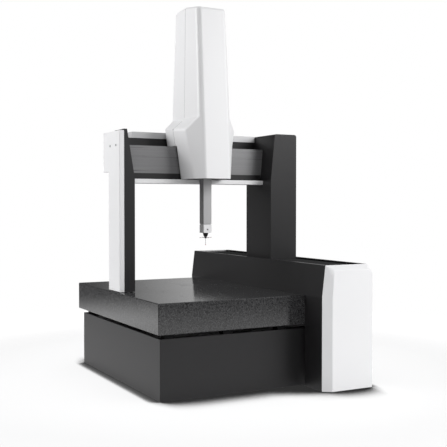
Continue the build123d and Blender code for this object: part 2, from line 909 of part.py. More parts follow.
# X drive behind the beam
x_plane = Plane.XZ.offset(-x_belt_front - x_belt_width)
x_centre = (left_leg_inner + right_leg_left) / 2
x_span = right_leg_left - left_leg_inner - 2 * x_pulley_inset
with BuildPart() as x_belt:
    belt_loop(x_plane, (x_centre, x_belt_z), x_span, x_pulley_radius, x_belt_width, False)
finish("x_belt", x_belt)

for pulley_name, pulley_x in (
    ("x_drive_pulley", left_leg_inner + x_pulley_inset),
    ("x_idler_pulley", right_leg_left - x_pulley_inset),
):
    with BuildPart() as x_pulley:
        shaft_end = x_belt_width + x_belt_offset + beam_wall
        pulley(x_plane, (pulley_x, x_belt_z), x_pulley_radius, x_belt_width, -flange_width, shaft_end)
    finish(pulley_name, x_pulley)

with BuildPart() as x_motor:
    with BuildSketch(Plane.XZ.offset(-(beam_rear - beam_wall))):
        with Locations((left_leg_inner + x_pulley_inset, x_belt_z)):
            Circle(x_motor_radius)
    extrude(amount=x_motor_length)
finish("x_motor", x_motor)

with BuildPart() as x_scale:
    scale_z = beam_bottom + beam_height / 2
    slab(
        (left_inner(scale_z) + ledge_wall, right_inner(scale_z) - ledge_wall),
        (beam_front - scale_thickness, beam_front),
        (scale_z - x_scale_width / 2, scale_z + x_scale_width / 2),
    )
finish("x_scale", x_scale)

# Carriage block: front plate and spine, top plate, rear plate and two rings round the ram
ring_hole = ram_size / 2 + ram_pad_thickness + air_gap
with BuildPart() as carriage_block:
    block_x = (carriage_x - block_half, carriage_x + block_half)
    slab(block_x, (block_front, block_rear), (block_bottom, top_plate_top))
    slab(block_x, (block_rear, rear_plate_rear), (top_plate_bottom, top_plate_top))
    slab(block_x, (rear_plate_front, rear_plate_rear), (rear_plate_bottom, top_plate_bottom))
    spine_x = (carriage_x - spine_half, carriage_x + spine_half)
    slab(spine_x, (block_front, block_rear), (top_plate_top, spine_top))
    ring_x = (carriage_x - ring_half, carriage_x + ring_half)
    hole_x = (carriage_x - ring_hole, carriage_x + ring_hole)
    hole_y = (ram_y - ring_hole, ram_y + ring_hole)
    for ring_z in (block_bottom, upper_ring_bottom):
        ring_span = (ring_z, ring_z + ring_height)
        slab(ring_x, (ram_front - ring_front, block_front), ring_span)
        slab(hole_x, hole_y, ring_span, mode=Mode.SUBTRACT)
finish("carriage_block", carriage_block)

# Air bearings on the beam, and flat ones on the four sides of the ram
with BuildPart() as carriage_air_bearings:
    pad_columns = (carriage_x - block_half + pad_radius, carriage_x + block_half - pad_radius)
    front_rows = (beam_bottom + trim_height + pad_radius, beam_top - pad_radius)
    with BuildSketch(Plane.XZ.offset(-(beam_front - air_gap))):
        with Locations(*[(column, row) for column in pad_columns for row in front_rows]):
            Circle(pad_radius)
    extrude(amount=block_standoff - air_gap)
    with BuildSketch(Plane.XY.offset(beam_top + air_gap)):
        with Locations(*[(column, beam_front + beam_depth / 2) for column in pad_columns]):
            Circle(pad_radius)
    extrude(amount=block_standoff - air_gap)
    with BuildSketch(Plane.XZ.offset(-(beam_rear + air_gap))):
        with Locations(*[(column, rear_plate_bottom + pad_radius) for column in pad_columns]):
            Circle(pad_radius)
    extrude(amount=-(rear_standoff - air_gap))
    pad_near = ram_size / 2 + air_gap
    pad_far = pad_near + ram_pad_thickness
    for ring_z in (block_bottom, upper_ring_bottom):
        ring_span = (ring_z, ring_z + ring_height)
        for away in (-1, 1):
            reach = sorted((away * pad_near, away * pad_far))
            slab(
                (carriage_x + reach[0], carriage_x + reach[1]),
                (ram_y - ram_pad_width / 2, ram_y + ram_pad_width / 2),
                ring_span,
            )
            slab(
                (carriage_x - ram_pad_width / 2, carriage_x + ram_pad_width / 2),
                (ram_y + reach[0], ram_y + reach[1]),
                ring_span,
            )
finish("carriage_air_bearings", carriage_air_bearings)

# Plates for the Z pulleys, and a clamp from the rear plate down to the upper run of the X belt
with BuildPart() as carriage_brackets:
    plate_x = (carriage_x + spine_half, carriage_x + spine_half + drive_plate)
    plate_front = ram_y - z_pulley_radius + belt_thickness
    for plate_z in (z_pulley_bottom, z_pulley_top):
        slab(plate_x, (plate_front, block_rear), (plate_z - z_motor_size / 2, plate_z + z_motor_size / 2))
    with BuildSketch(Plane.YZ.offset(plate_x[0])):
        with Locations((ram_y, z_pulley_bottom), (ram_y, z_pulley_top)):
            Circle(shaft_radius + running_gap)
    extrude(amount=drive_plate, mode=Mode.SUBTRACT)
    x_grip_z = x_belt_z + x_pulley_radius + belt_thickness + running_gap
    slab(
        (carriage_x - bracket_size / 2, carriage_x + bracket_size / 2),
        (rear_plate_front, x_belt_front + x_belt_width),
        (x_grip_z, rear_plate_bottom),
    )
finish("carriage_brackets", carriage_brackets)


# Tower covers: sections that flare from the nose to the hull and taper up the column
def level(z, slope=0.0):
    """Plane across the tower at a height above the seam, tilted by a slope along Y."""
    return Plane((carriage_x, seam_y, z), x_dir=(1, 0, 0), z_dir=(0, -slope, 1))


def front_y(z):
    """Y of the tower's front face, one flat plane that leans back towards the top."""
    share = (z - nose_bottom) / (tower_top - nose_bottom)
    return tower_front_bottom + share * (tower_front_top - tower_front_bottom)


def nose_section(z, side_front, half_front, half_rear, inset):
    """Plan of the nose, which is open at the back towards the beam."""
    front = front_y(z) + inset - seam_y
    side = side_front + inset - seam_y
    rear = nose_rear + inset - seam_y
    with BuildSketch(level(z)) as section:
        with BuildLine():
            Polyline(
                (inset - tower_front_half, front),
                (tower_front_half - inset, front),
                (half_front - inset, side),
                (half_rear - inset, rear),
                (inset - half_rear, rear),
                (inset - half_front, side),
                close=True,
            )
        make_face()
    return section.sketch


def tower_section(plane, front_z, side_front, half_front, half_rear, rear, corner, inset):
    """Plan of the hull or the column, an octagon with a narrow front face, on a level or tilted plane."""
    level_share = plane.z_dir.Z
    front = (front_y(front_z) + inset - seam_y) / level_share
    side = (side_front + inset - seam_y) / level_share
    back = (rear - inset - seam_y) / level_share
    with BuildSketch(plane) as section:
        with BuildLine():
            Polyline(
                (inset - tower_front_half, front),
                (tower_front_half - inset, front),
                (half_front - inset, side),
                (half_rear - inset, back - corner),
                (half_rear - inset - corner, back),
                (inset + corner - half_rear, back),
                (inset - half_rear, back - corner),
                (inset - half_front, side),
                close=True,
            )
        make_face()
    return section.sketch


def column_section(plane, front_z, half, rear, inset):
    """Plan of the column, with equal facets at its front and rear corners."""
    side_front = front_y(front_z) + column_facet
    return tower_section(plane, front_z, side_front, half, half, rear, column_facet, inset)


def tower_form(inset, roof_slope):
    """Nose, hull, shoulder and column under a sloping bevelled roof, drawn in by the inset."""
    seam_share = (nose_rear - hull_side_front) / (hull_rear - hull_side_front)
    hull_half_seam = hull_half_front + seam_share * (hull_half_rear - hull_half_front)
    roof_z = tower_top - inset
    eaves_z = roof_z - crown_bevel_height
    eaves_front_z = eaves_z + roof_slope * (tower_front_top - seam_y)
    nose_low = nose_section(nose_bottom, nose_side_front, nose_half_front, nose_half_rear, inset)
    nose_high = nose_section(hull_bottom, hull_side_front, hull_half_front, hull_half_seam, inset)
    shoulder_front_z = shoulder_bottom + shoulder_slope * (front_y(shoulder_bottom) - seam_y)
    hull, shoulder = [
        tower_section(
            plane,
            front_z,
            hull_side_front,
            hull_half_front + spread,
            hull_half_rear + spread,
            hull_rear,
            hull_corner,
            inset,
        )
        for plane, front_z, spread in (
            (level(hull_bottom), hull_bottom, 0.0),
            (level(shoulder_bottom, shoulder_slope), shoulder_front_z, shoulder_spread),
        )
    ]
    column, eaves, roof = [
        column_section(plane, front_z, half, rear, total_inset)
        for plane, front_z, half, rear, total_inset in (
            (level(column_bottom), column_bottom, column_half_bottom, column_rear_bottom, inset),
            (level(eaves_z, roof_slope), eaves_front_z, column_half_top, column_rear_top, inset),
            (
                level(roof_z, roof_slope),
                eaves_front_z,
                column_half_top,
                column_rear_top,
                inset + crown_bevel_inset,
            ),
        )
    ]
    rings = (hull, shoulder, column, eaves, roof)
    with BuildPart() as form:
        for low, high in ((nose_low, nose_high), *zip(rings, rings[1:])):
            loft([low, high], ruled=True)
    return form.part


def tower_shell(roof_slope, cut, keep):
    """Half of the tower's covers, in front of the seam or behind it."""
    add(tower_form(0, roof_slope))
    add(tower_form(tower_wall, roof_slope), mode=Mode.SUBTRACT)
    split(bisect_by=Plane.XZ.offset(-cut), keep=keep)


with BuildPart() as tower_front_cover:
    tower_shell(front_roof_slope, seam_y - tower_seam / 2, Keep.TOP)
finish("tower_front_cover", tower_front_cover)

with BuildPart() as tower_rear_cover:
    tower_shell(rear_roof_slope, seam_y + tower_seam / 2, Keep.BOTTOM)
finish("tower_rear_cover", tower_rear_cover)

with BuildPart() as nose_plate:
    plate_inset = tower_wall + running_gap
    plate_outline = nose_section(nose_bottom, nose_side_front, nose_half_front, nose_half_rear, plate_inset)
    extrude(plate_outline, amount=nose_plate_thickness)
    slab(
        (carriage_x - ram_size / 2 - cover_gap, carriage_x + ram_size / 2 + cover_gap),
        (ram_y - ram_size / 2 - cover_gap, ram_y + ram_size / 2 + cover_gap),
        (nose_bottom, nose_bottom + nose_plate_thickness),
        mode=Mode.SUBTRACT,
    )
finish("nose_plate", nose_plate)

# Z drive beside the ram
z_plane = Plane.YZ.offset(carriage_x + z_belt_offset)
z_middle = (ram_y, (z_pulley_top + z_pulley_bottom) / 2)
with BuildPart() as z_belt:
    belt_loop(z_plane, z_middle, z_pulley_top - z_pulley_bottom, z_pulley_radius, z_belt_width, True)
finish("z_belt", z_belt)

z_shaft_start = spine_half - z_belt_offset
z_shaft_end = z_belt_width + flange_width
for pulley_name, pulley_z in (("z_idler_pulley", z_pulley_bottom), ("z_drive_pulley", z_pulley_top)):
    with BuildPart() as z_pulley:
        pulley(z_plane, (ram_y, pulley_z), z_pulley_radius, z_belt_width, z_shaft_start, z_shaft_end)
    finish(pulley_name, z_pulley)

with BuildPart() as z_motor:
    with BuildSketch(Plane.YZ.offset(carriage_x + spine_half)):
        with Locations((ram_y, z_pulley_top)):
            RectangleRounded(z_motor_size, z_motor_size, z_motor_corner)
    extrude(amount=-z_motor_length)
finish("z_motor", z_motor)

# Counterbalance: a fixed piston rod that reaches down inside the hollow ram
with BuildPart() as counterbalance_rod:
    slab(
        (carriage_x - ram_size / 2, carriage_x + ram_size / 2),
        (ram_front, block_front),
        (rod_plate_bottom, rod_plate_bottom + rod_plate_thickness),
    )
    with BuildSketch(Plane.XY.offset(piston_bottom)):
        with Locations((carriage_x, ram_y)):
            Circle(rod_radius)
    extrude(amount=rod_plate_bottom - piston_bottom)
    with BuildSketch(Plane.XY.offset(piston_bottom)):
        with Locations((carriage_x, ram_y)):
            Circle(ram_bore - running_gap)
    extrude(amount=piston_height)
finish("counterbalance_rod", counterbalance_rod)

# Ram: a square ceramic tube
with BuildPart() as ram:
    with BuildSketch(Plane.XY.offset(ram_bottom)):
        with Locations((carriage_x, ram_y)):
            RectangleRounded(ram_size, ram_size, ram_edge)
    extrude(amount=ram_length)
    with BuildSketch(Plane.XY.offset(ram_bottom + ram_floor)):
        with Locations((carriage_x, ram_y)):
            Circle(ram_bore)
    extrude(amount=ram_length - ram_floor - ram_cap, mode=Mode.SUBTRACT)
    with BuildSketch(Plane.XY.offset(ram_top - ram_cap)):
        with Locations((carriage_x, ram_y)):
            Circle(rod_radius + running_gap)
    extrude(amount=ram_cap, mode=Mode.SUBTRACT)
finish("ram", ram)

with BuildPart() as z_belt_clamp:
    z_clamp_rear = ram_y - z_pulley_radius - belt_thickness - running_gap
    slab(
        (carriage_x + ram_size / 2, carriage_x + z_belt_offset + z_belt_width),
        (ram_front + ram_edge, z_clamp_rear),
        (ram_top - bracket_size / 2, ram_top),
    )
finish("z_belt_clamp", z_belt_clamp)

# Probe head under the ram
with BuildPart() as probe_flange:
    with BuildSketch(Plane.XY.offset(probe_top)):
        with Locations((carriage_x, ram_y)):
            RectangleRounded(ram_size - 2 * ram_edge, ram_size - 2 * ram_edge, ram_edge)
    extrude(amount=flange_thickness)
finish("probe_flange", probe_flange)

with BuildPart() as probe_housing:
    with BuildSketch(Plane.XY.offset(probe_bottom)):
        with Locations((carriage_x, ram_y)):
            RectangleRounded(ram_size, ram_size, ram_edge)
    extrude(amount=probe_height)
    with BuildSketch(Plane.XY.offset(probe_bottom)):
        with Locations((carriage_x, ram_y)):
            Rectangle(ram_size - 2 * probe_wall, ram_size - 2 * probe_wall)
    extrude(amount=probe_height - probe_wall, mode=Mode.SUBTRACT)
finish("probe_housing", probe_housing)

with BuildPart() as probe_lens:
    with BuildSketch(Plane.XZ.offset(-ram_front)):
        with Locations((carriage_x, probe_bottom + probe_lens_height)):
            Circle(probe_lens_radius)
    extrude(amount=probe_lens_depth)
finish("probe_lens", probe_lens)

# Probe stages that let the stylus give way in X, Y and Z
x_stage_bottom = probe_top - probe_wall - running_gap - stage_thickness
y_stage_bottom = x_stage_bottom - running_gap - stage_thickness
bush_bottom = y_stage_bottom - bush_length
with BuildPart() as probe_x_stage:
    with BuildSketch(Plane.XY.offset(x_stage_bottom)):
        with Locations((carriage_x, ram_y)):
            RectangleRounded(stage_size, stage_size, ram_edge)
    extrude(amount=stage_thickness)
finish("probe_x_stage", probe_x_stage)

with BuildPart() as probe_y_stage:
    with BuildSketch(Plane.XY.offset(y_stage_bottom)):
        with Locations((carriage_x, ram_y)):
            RectangleRounded(stage_size, stage_size, ram_edge)
    extrude(amount=stage_thickness)
    with BuildSketch(Plane.XY.offset(bush_bottom)):
        with Locations((carriage_x, ram_y)):
            Circle(bush_radius)
            Circle(pin_radius + running_gap, mode=Mode.SUBTRACT)
    extrude(amount=bush_length)
finish("probe_y_stage", probe_y_stage)

with BuildPart() as stylus_carrier:
    with BuildSketch(Plane.XY.offset(carrier_bottom)):
        with Locations((carriage_x, ram_y)):
            Circle(carrier_bottom_radius)
    with BuildSketch(Plane.XY.offset(carrier_top)):
        with Locations((carriage_x, ram_y)):
            Circle(carrier_top_radius)
    loft()
    with BuildSketch(Plane.XY.offset(carrier_top)):
        with Locations((carriage_x, ram_y)):
            Circle(pin_radius)
    extrude(amount=y_stage_bottom - probe_travel - running_gap - carrier_top)
finish("stylus_carrier", stylus_carrier)

star_top = carrier_bottom - adapter_thickness
star_middle = star_top - star_size / 2
with BuildPart() as stylus_star:
    with BuildSketch(Plane.XY.offset(star_top)):
        with Locations((carriage_x, ram_y)):
            Circle(adapter_radius)
    extrude(amount=adapter_thickness)
    with BuildSketch(Plane.XY.offset(star_top - star_size)):
        with Locations((carriage_x, ram_y)):
            Rectangle(star_size, star_size)
    extrude(amount=star_size)
finish("stylus_star", stylus_star)

with BuildPart() as styli:
    star_half = star_size / 2
    stem_length = stylus_reach - star_half - stylus_ball
    for stem_plane, away in ((Plane.YZ, 1), (Plane.YZ, -1), (Plane.XZ, 1), (Plane.XZ, -1)):
        stem = Plane((carriage_x, ram_y, star_middle), stem_plane.x_dir, stem_plane.z_dir * away)
        with BuildSketch(stem.offset(star_half)):
            Circle(stylus_radius)
        extrude(amount=stem_length)
    with BuildSketch(Plane.XY.offset(stylus_tip + 2 * stylus_ball)):
        with Locations((carriage_x, ram_y)):
            Circle(stylus_radius)
    extrude(amount=star_top - star_size - stylus_tip - 2 * stylus_ball)
finish("styli", styli)

with BuildPart() as stylus_balls:
    with Locations(
        (carriage_x + stylus_reach, ram_y, star_middle),
        (carriage_x - stylus_reach, ram_y, star_middle),
        (carriage_x, ram_y + stylus_reach, star_middle),
        (carriage_x, ram_y - stylus_reach, star_middle),
        (carriage_x, ram_y, stylus_tip + stylus_ball),
    ):
        Sphere(stylus_ball)
finish("stylus_balls", stylus_balls)
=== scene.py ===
"""Studio view of a bridge-type coordinate measuring machine.

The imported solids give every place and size. This file gives the finishes, softens the edges that
catch light, folds the bellows and sets up the floor, the lamps and the camera.
"""
import json
import math

import bmesh
import bpy
from bpy.props import FloatProperty, FloatVectorProperty, PointerProperty
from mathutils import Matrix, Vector

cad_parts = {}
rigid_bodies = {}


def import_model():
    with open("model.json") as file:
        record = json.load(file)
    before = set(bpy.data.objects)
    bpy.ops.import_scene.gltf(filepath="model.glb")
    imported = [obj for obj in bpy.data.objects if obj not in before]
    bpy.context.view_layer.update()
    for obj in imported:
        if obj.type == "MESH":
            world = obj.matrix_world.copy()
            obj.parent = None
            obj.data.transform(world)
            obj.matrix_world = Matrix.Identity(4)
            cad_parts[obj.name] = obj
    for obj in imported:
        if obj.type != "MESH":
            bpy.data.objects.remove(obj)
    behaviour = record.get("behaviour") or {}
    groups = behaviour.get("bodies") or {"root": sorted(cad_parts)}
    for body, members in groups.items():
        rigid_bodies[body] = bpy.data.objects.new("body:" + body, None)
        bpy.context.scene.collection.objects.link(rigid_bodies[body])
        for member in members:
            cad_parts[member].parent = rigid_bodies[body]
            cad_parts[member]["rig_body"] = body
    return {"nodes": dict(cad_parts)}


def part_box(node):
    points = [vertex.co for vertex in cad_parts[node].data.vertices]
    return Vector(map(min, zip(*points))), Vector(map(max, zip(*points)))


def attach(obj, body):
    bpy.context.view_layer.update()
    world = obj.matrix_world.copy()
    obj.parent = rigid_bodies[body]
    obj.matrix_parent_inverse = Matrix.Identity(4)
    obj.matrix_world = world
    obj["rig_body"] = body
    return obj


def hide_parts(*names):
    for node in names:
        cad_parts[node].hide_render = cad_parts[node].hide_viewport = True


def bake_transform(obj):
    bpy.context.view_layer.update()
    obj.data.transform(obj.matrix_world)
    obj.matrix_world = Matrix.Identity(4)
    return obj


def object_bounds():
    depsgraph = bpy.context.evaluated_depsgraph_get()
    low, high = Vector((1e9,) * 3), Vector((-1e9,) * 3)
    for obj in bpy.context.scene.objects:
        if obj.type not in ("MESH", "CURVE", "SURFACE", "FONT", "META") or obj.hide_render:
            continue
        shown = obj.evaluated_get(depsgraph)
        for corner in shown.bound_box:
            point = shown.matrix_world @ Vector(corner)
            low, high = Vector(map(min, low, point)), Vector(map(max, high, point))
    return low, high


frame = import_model()
cad_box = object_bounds()

bl_info = {
    "name": "Coordinate measuring machine",
    "version": (1, 0, 0),
    "blender": (4, 5, 0),
    "location": "3D View > Sidebar > Measuring machine",
    "description": "Dresses a bridge-type coordinate measuring machine and sets up its studio",
    "category": "Object",
}

# Points nearer than this are one point
weld_distance = 1e-5
# A strip under this many rounding widths is too narrow to be rounded
narrow_strip = 1.5
# Least cosine between an axis and a face that looks along it
square_on = 0.99
# Edges sharper than this stay sharp in the shading
crease_angle = math.radians(38.0)
# Wall of the tower's covers
shell_rim = 0.0032
# Half of a noise texture's values lie on each side of this
noise_middle = 0.5

# Soft patches of light in the room, named as their settings: the way to each, and the angles from it
# in degrees up to which it is full and past which it has faded out
room_patches = {
    "ceiling": ((0.0, 0.0, 1.0), 30.0, 78.0),
    "front": ((-0.3, -1.0, 0.2), 20.0, 80.0),
    "front_right": ((0.8, -0.6, 0.2), 20.0, 36.0),
    "back_right": ((0.72, 0.62, 0.12), 15.0, 32.0),
    "back_left": ((-0.88, 0.47, 0.35), 16.0, 27.0),
}


# Settings that a user may change
def colour(name, description, default):
    """A colour."""
    return FloatVectorProperty(
        name=name, description=description, subtype="COLOR", size=3, min=0.0, max=1.0, default=default
    )


def point(name, description, default):
    """A place in metres."""
    return FloatVectorProperty(
        name=name, description=description, subtype="TRANSLATION", unit="LENGTH", size=3, default=default
    )


def length(name, description, default):
    """A length in metres."""
    return FloatProperty(
        name=name,
        description=description,
        subtype="DISTANCE",
        unit="LENGTH",
        min=0.0,
        precision=4,
        default=default,
    )


def camera_length(name, description, default):
    """A length inside the camera in millimetres."""
    return FloatProperty(name=name, description=description, subtype="DISTANCE_CAMERA", default=default)


def angle(name, description, degrees):
    """An angle, given in degrees."""
    return FloatProperty(name=name, description=description, subtype="ANGLE", default=math.radians(degrees))


def share(name, description, default):
    """A number from nothing to one."""
    return FloatProperty(
        name=name, description=description, subtype="FACTOR", min=0.0, max=1.0, default=default
    )


def brightness(name, description, default):
    """How bright a part of the room is."""
    return FloatProperty(name=name, description=description, min=0.0, default=default)


def power(name, description, default):
    """Power of a lamp in watts."""
    return FloatProperty(name=name, description=description, subtype="POWER", min=0.0, default=default)


class FinishSettings(bpy.types.PropertyGroup):
    """Colours and surface sizes of the machine's finishes."""

    granite_dark: colour("Granite", "Ground mass of the table", (0.012, 0.012, 0.013))
    granite_light: colour("Granite flecks", "Light grains in the table", (0.125, 0.125, 0.128))
    granite_grain: length("Grain size", "Size of the granite's grains", 0.003)
    granite_polish: share("Granite roughness", "Roughness of the lapped faces", 0.09)
    black: colour("Black paint", "Coat of legs, base, housing and motors", (0.0125, 0.012, 0.013))
    white: colour("White covers", "Moulded and painted covers", (0.8, 0.8, 0.81))
    # The beam's tone also colours the rims where the tower's covers meet, as painted shade in the gap between
    # them
    beam: colour("Beam", "Anodised beam, its scale and the tower's painted seam shade", (0.186, 0.186, 0.19))
    pale_metal: colour("Pale metal", "Clear anodised aluminium", (0.62, 0.62, 0.63))
    lid: colour("Duct lid", "Satin aluminium of the duct's lid", (0.6, 0.6, 0.61))
    steel: colour("Steel", "Machined steel", (0.46, 0.46, 0.47))
    dark_steel: colour("Blackened steel", "Threaded inserts and stylus star", (0.05, 0.05, 0.052))
    ceramic: colour("Ceramic", "Ground ceramic of the ram and the styli", (0.46, 0.46, 0.465))
    # Painted shade: how much darker the colour is on the sides of ram and probe that face along X
    guide: share("Painted side shade", "How much darker the sides of ram and probe are", 0.6)
    probe: colour("Probe", "Blasted aluminium of the probe", (0.85, 0.85, 0.86))
    rubber: colour("Rubber", "Belts, feet, isolators, bellows and window", (0.006, 0.006, 0.0065))
    ruby: colour("Ruby", "Stylus balls", (0.4, 0.012, 0.02))
    coat_grain: length("Coat grain", "Size of the powder coat's orange peel", 0.0016)


class EdgeSettings(bpy.types.PropertyGroup):
    """How far edges are rounded."""

    tower: length("Tower", "Rounding of the tower's facets", 0.014)
    crown: length("Crown", "Rounding of the tower's narrow crown", 0.004)
    cap: length("End caps", "Rounding of the end caps", 0.004)
    leg: length("Legs", "Rounding of the right leg; the left one has half of it", 0.005)
    sheet: length("Sheets", "Rounding of folded sheet", 0.0012)
    stone: length("Granite", "Rounding of the table's bevelled edges", 0.001)


class BellowsSettings(bpy.types.PropertyGroup):
    """Folds of the two bellows."""

    pitch: length("Pitch", "Distance from fold to fold at rest", 0.022)
    rise: length("Rise", "Height of the folds", 0.012)
    thickness: length("Thickness", "Thickness of the cloth", 0.0015)


class StudioSettings(bpy.types.PropertyGroup):
    """Camera, room, lamps and floor."""

    eye: point("Eye", "Place of the camera", (-2.835, -5.613, 1.272))
    azimuth: angle("Azimuth", "Turn of the view from +Y", -27.92)
    pitch: angle("Pitch", "Drop of the view below level", 1.3)
    lens: camera_length("Lens", "Focal length", 66.2)
    sensor: camera_length("Sensor", "Width of the camera's sensor", 36.0)
    view_depth: length("View depth", "How far the camera sees", 200.0)
    wall: share("Wall", "Brightness of the room between the screens", 0.05)
    ceiling: brightness("Ceiling", "Brightness of the ceiling", 0.4)
    front: brightness("Front", "Brightness of the room behind the camera", 0.22)
    front_right: brightness("Front right", "Brightness of the screen at the front right", 1.2)
    back_right: brightness("Back right", "Brightness of the screen that the granite mirrors", 0.8)
    back_left: brightness("Back left", "Brightness of the screen that the housing mirrors", 1.2)
    key: power("Key", "Power of the softbox high at the front right", 144.0)
    key_shine: share("Key shine", "Part of the key that shows in reflections", 0.6)
    key_place: point("Key place", "Place of the key", (2.7, -3.7, 3.4))
    key_target: point("Key target", "Point that the key faces", (0.0, -0.3, 1.3))
    key_size: length("Key size", "Side of the key", 2.5)
    side: power("Side", "Power of the softbox high at the left", 105.0)
    side_place: point("Side place", "Place of the left softbox", (-3.4, 1.6, 3.2))
    side_target: point("Side target", "Point that the left softbox faces", (-0.2, 0.0, 1.4))
    side_size: length("Side size", "Side of the left softbox", 2.6)
    wash: power("Wash", "Power of the lamp that lights the floor alone", 820.0)
    wash_height: length("Wash height", "Height of the floor's lamp", 6.0)
    wash_size: length("Wash size", "Side of the floor's lamp", 5.0)
    floor: colour("Floor", "Pale floor", (0.45, 0.45, 0.452))
    floor_roughness: share("Floor roughness", "Roughness of the floor", 0.9)
    floor_size: length("Floor size", "Side of the floor", 90.0)
    contact_front: length("Front shadow", "Reach of the shadow in front of the machine", 0.36)
    contact_side: length("Side shadow", "Reach of the shadow beside the machine", 0.085)
    front_tone: share("Front tone", "Brightness of the floor right in front of the machine", 0.035)
    side_tone: share("Side tone", "Brightness of the floor right beside the machine", 0.2)
    turn_inside: length("Turn inside", "Where the front shadow ends, inwards from the machine's sides", 0.06)
    turn_outside: length("Turn outside", "Where the side shadow starts, outwards from those sides", 0.08)
    closed: share("Closed", "Open part of a point's surroundings where the shadow is darkest", 0.62)
    opened: share("Opened", "Open part of a point's surroundings where the shadow ends", 0.95)
    bounce: share("Bounce", "How bright the shaded floor stays as a source of bounced light", 0.75)
    fade_start: length("Fade start", "Where the lit floor starts to fade", 1.9)
    fade_end: length("Fade end", "Where the floor has become the backdrop", 3.6)
    floor_near: brightness("Near floor", "Brightness in reflections of the faded floor", 1.2)
    floor_far: share("Far floor", "Brightness in reflections of the floor that has dimmed", 0.1)
    dim_start: length("Dim start", "Where the floor starts to dim in reflections", 3.2)
    dim_end: length("Dim end", "Where the floor has dimmed in reflections", 6.2)


# Small tools for shader trees
def new_group(name, inputs, outputs):
    """An empty shader node group with named sockets."""
    group = bpy.data.node_groups.new(name, "ShaderNodeTree")
    for label, kind, default in inputs:
        socket = group.interface.new_socket(label, in_out="INPUT", socket_type=kind)
        socket.default_value = default
    for label, kind in outputs:
        group.interface.new_socket(label, in_out="OUTPUT", socket_type=kind)
    return group, group.nodes.new("NodeGroupInput"), group.nodes.new("NodeGroupOutput")


def add(tree, kind, **settings):
    """A node with its own properties set."""
    node = tree.nodes.new(kind)
    for key, value in settings.items():
        setattr(node, key, value)
    return node


def feed(tree, value, socket):
    """Link a socket into another one, or set a plain value on it."""
    if isinstance(value, bpy.types.NodeSocket):
        tree.links.new(value, socket)
    else:
        socket.default_value = value


def ramp(tree, source, *stops):
    """A colour ramp between two grey stops, fed by a value."""
    node = add(tree, "ShaderNodeValToRGB")
    for element, (position, grey) in zip(node.color_ramp.elements, stops):
        element.position = position
        element.color = (grey, grey, grey, 1.0)
    tree.links.new(source, node.inputs["Fac"])
    return node.outputs["Color"]


def mixed(tree, blend, factor, first, second):
    """Two colours mixed; each input is a socket or a value."""
    node = add(tree, "ShaderNodeMix", data_type="RGBA", blend_type=blend)
    for label, value in (("Factor_Float", factor), ("A_Color", first), ("B_Color", second)):
        feed(tree, value, next(s for s in node.inputs if s.identifier == label))
    return next(s for s in node.outputs if s.identifier == "Result_Color")


def calc(tree, operation, first, second=0.0):
    """Arithmetic on one or two values or sockets."""
    node = add(tree, "ShaderNodeMath", operation=operation)
    for socket, value in zip(node.inputs, (first, second)):
        feed(tree, value, socket)
    return node.outputs["Value"]


def swing(tree, pattern, amount):
    """A noise pattern that swings about nothing by an amount."""
    return calc(tree, "MULTIPLY", calc(tree, "SUBTRACT", pattern, noise_middle), amount)


def scaled(tree, tone, factor):
    """A colour made lighter or darker by a factor."""
    node = add(tree, "ShaderNodeVectorMath", operation="SCALE")
    tree.links.new(tone, node.inputs[0])
    tree.links.new(factor, node.inputs["Scale"])
    return node.outputs["Vector"]


def noise(tree, coords, scale, detail):
    """Noise over some coordinates."""
    node = add(tree, "ShaderNodeTexNoise")
    node.inputs["Detail"].default_value = detail
    feed(tree, scale, node.inputs["Scale"])
    tree.links.new(coords, node.inputs["Vector"])
    return node.outputs["Fac"]


def slope(tree, source, start, end, first, last):
    """A value that runs smoothly from first to last while its source runs from start to end."""
    node = add(tree, "ShaderNodeMapRange", interpolation_type="SMOOTHSTEP")
    for label, value in (("From Min", start), ("From Max", end), ("To Min", first), ("To Max", last)):
        feed(tree, value, node.inputs[label])
    tree.links.new(source, node.inputs["Value"])
    return node.outputs["Result"]


# Shared effects
surface_outputs = (
    ("Color", "NodeSocketColor"),
    ("Roughness", "NodeSocketFloat"),
    ("Height", "NodeSocketFloat"),
)


def speckle_group():
    """Crystal grains of granite: dark ground, grey patches and a few bright flecks."""
    group, start, end = new_group(
        "Granite Speckle",
        (
            ("Ground", "NodeSocketColor", (0.02, 0.02, 0.02, 1.0)),
            ("Fleck", "NodeSocketColor", (0.2, 0.2, 0.2, 1.0)),
            ("Grain", "NodeSocketFloat", 0.003),
            ("Gloss", "NodeSocketFloat", 0.1),
        ),
        surface_outputs,
    )
    patches_per_grain = 0.45
    patch_detail = 4.0
    bright_grains = ((0.55, 0.0), (0.95, 1.0))
    grey_patches = ((0.38, 0.0), (0.72, 0.6))
    fleck_roughness = 0.12
    density = calc(group, "DIVIDE", 1.0, start.outputs["Grain"])
    coords = add(group, "ShaderNodeTexCoord").outputs["Object"]
    cells = add(group, "ShaderNodeTexVoronoi", feature="F1")
    group.links.new(coords, cells.inputs["Vector"])
    group.links.new(density, cells.inputs["Scale"])
    crystal = add(group, "ShaderNodeSeparateColor")
    group.links.new(cells.outputs["Color"], crystal.inputs["Color"])
    patches = noise(group, coords, calc(group, "MULTIPLY", density, patches_per_grain), patch_detail)
    bright = ramp(group, crystal.outputs["Red"], *bright_grains)
    cloudy = ramp(group, patches, *grey_patches)
    flecks = mixed(group, "SCREEN", 1.0, cloudy, mixed(group, "MULTIPLY", 1.0, bright, cloudy))
    shade = add(group, "ShaderNodeRGBToBW")
    group.links.new(flecks, shade.inputs["Color"])
    tone = mixed(group, "MIX", shade.outputs["Val"], start.outputs["Ground"], start.outputs["Fleck"])
    uneven = calc(group, "MULTIPLY", shade.outputs["Val"], fleck_roughness)
    group.links.new(tone, end.inputs["Color"])
    group.links.new(calc(group, "ADD", uneven, start.outputs["Gloss"]), end.inputs["Roughness"])
    group.links.new(crystal.outputs["Green"], end.inputs["Height"])
    return group


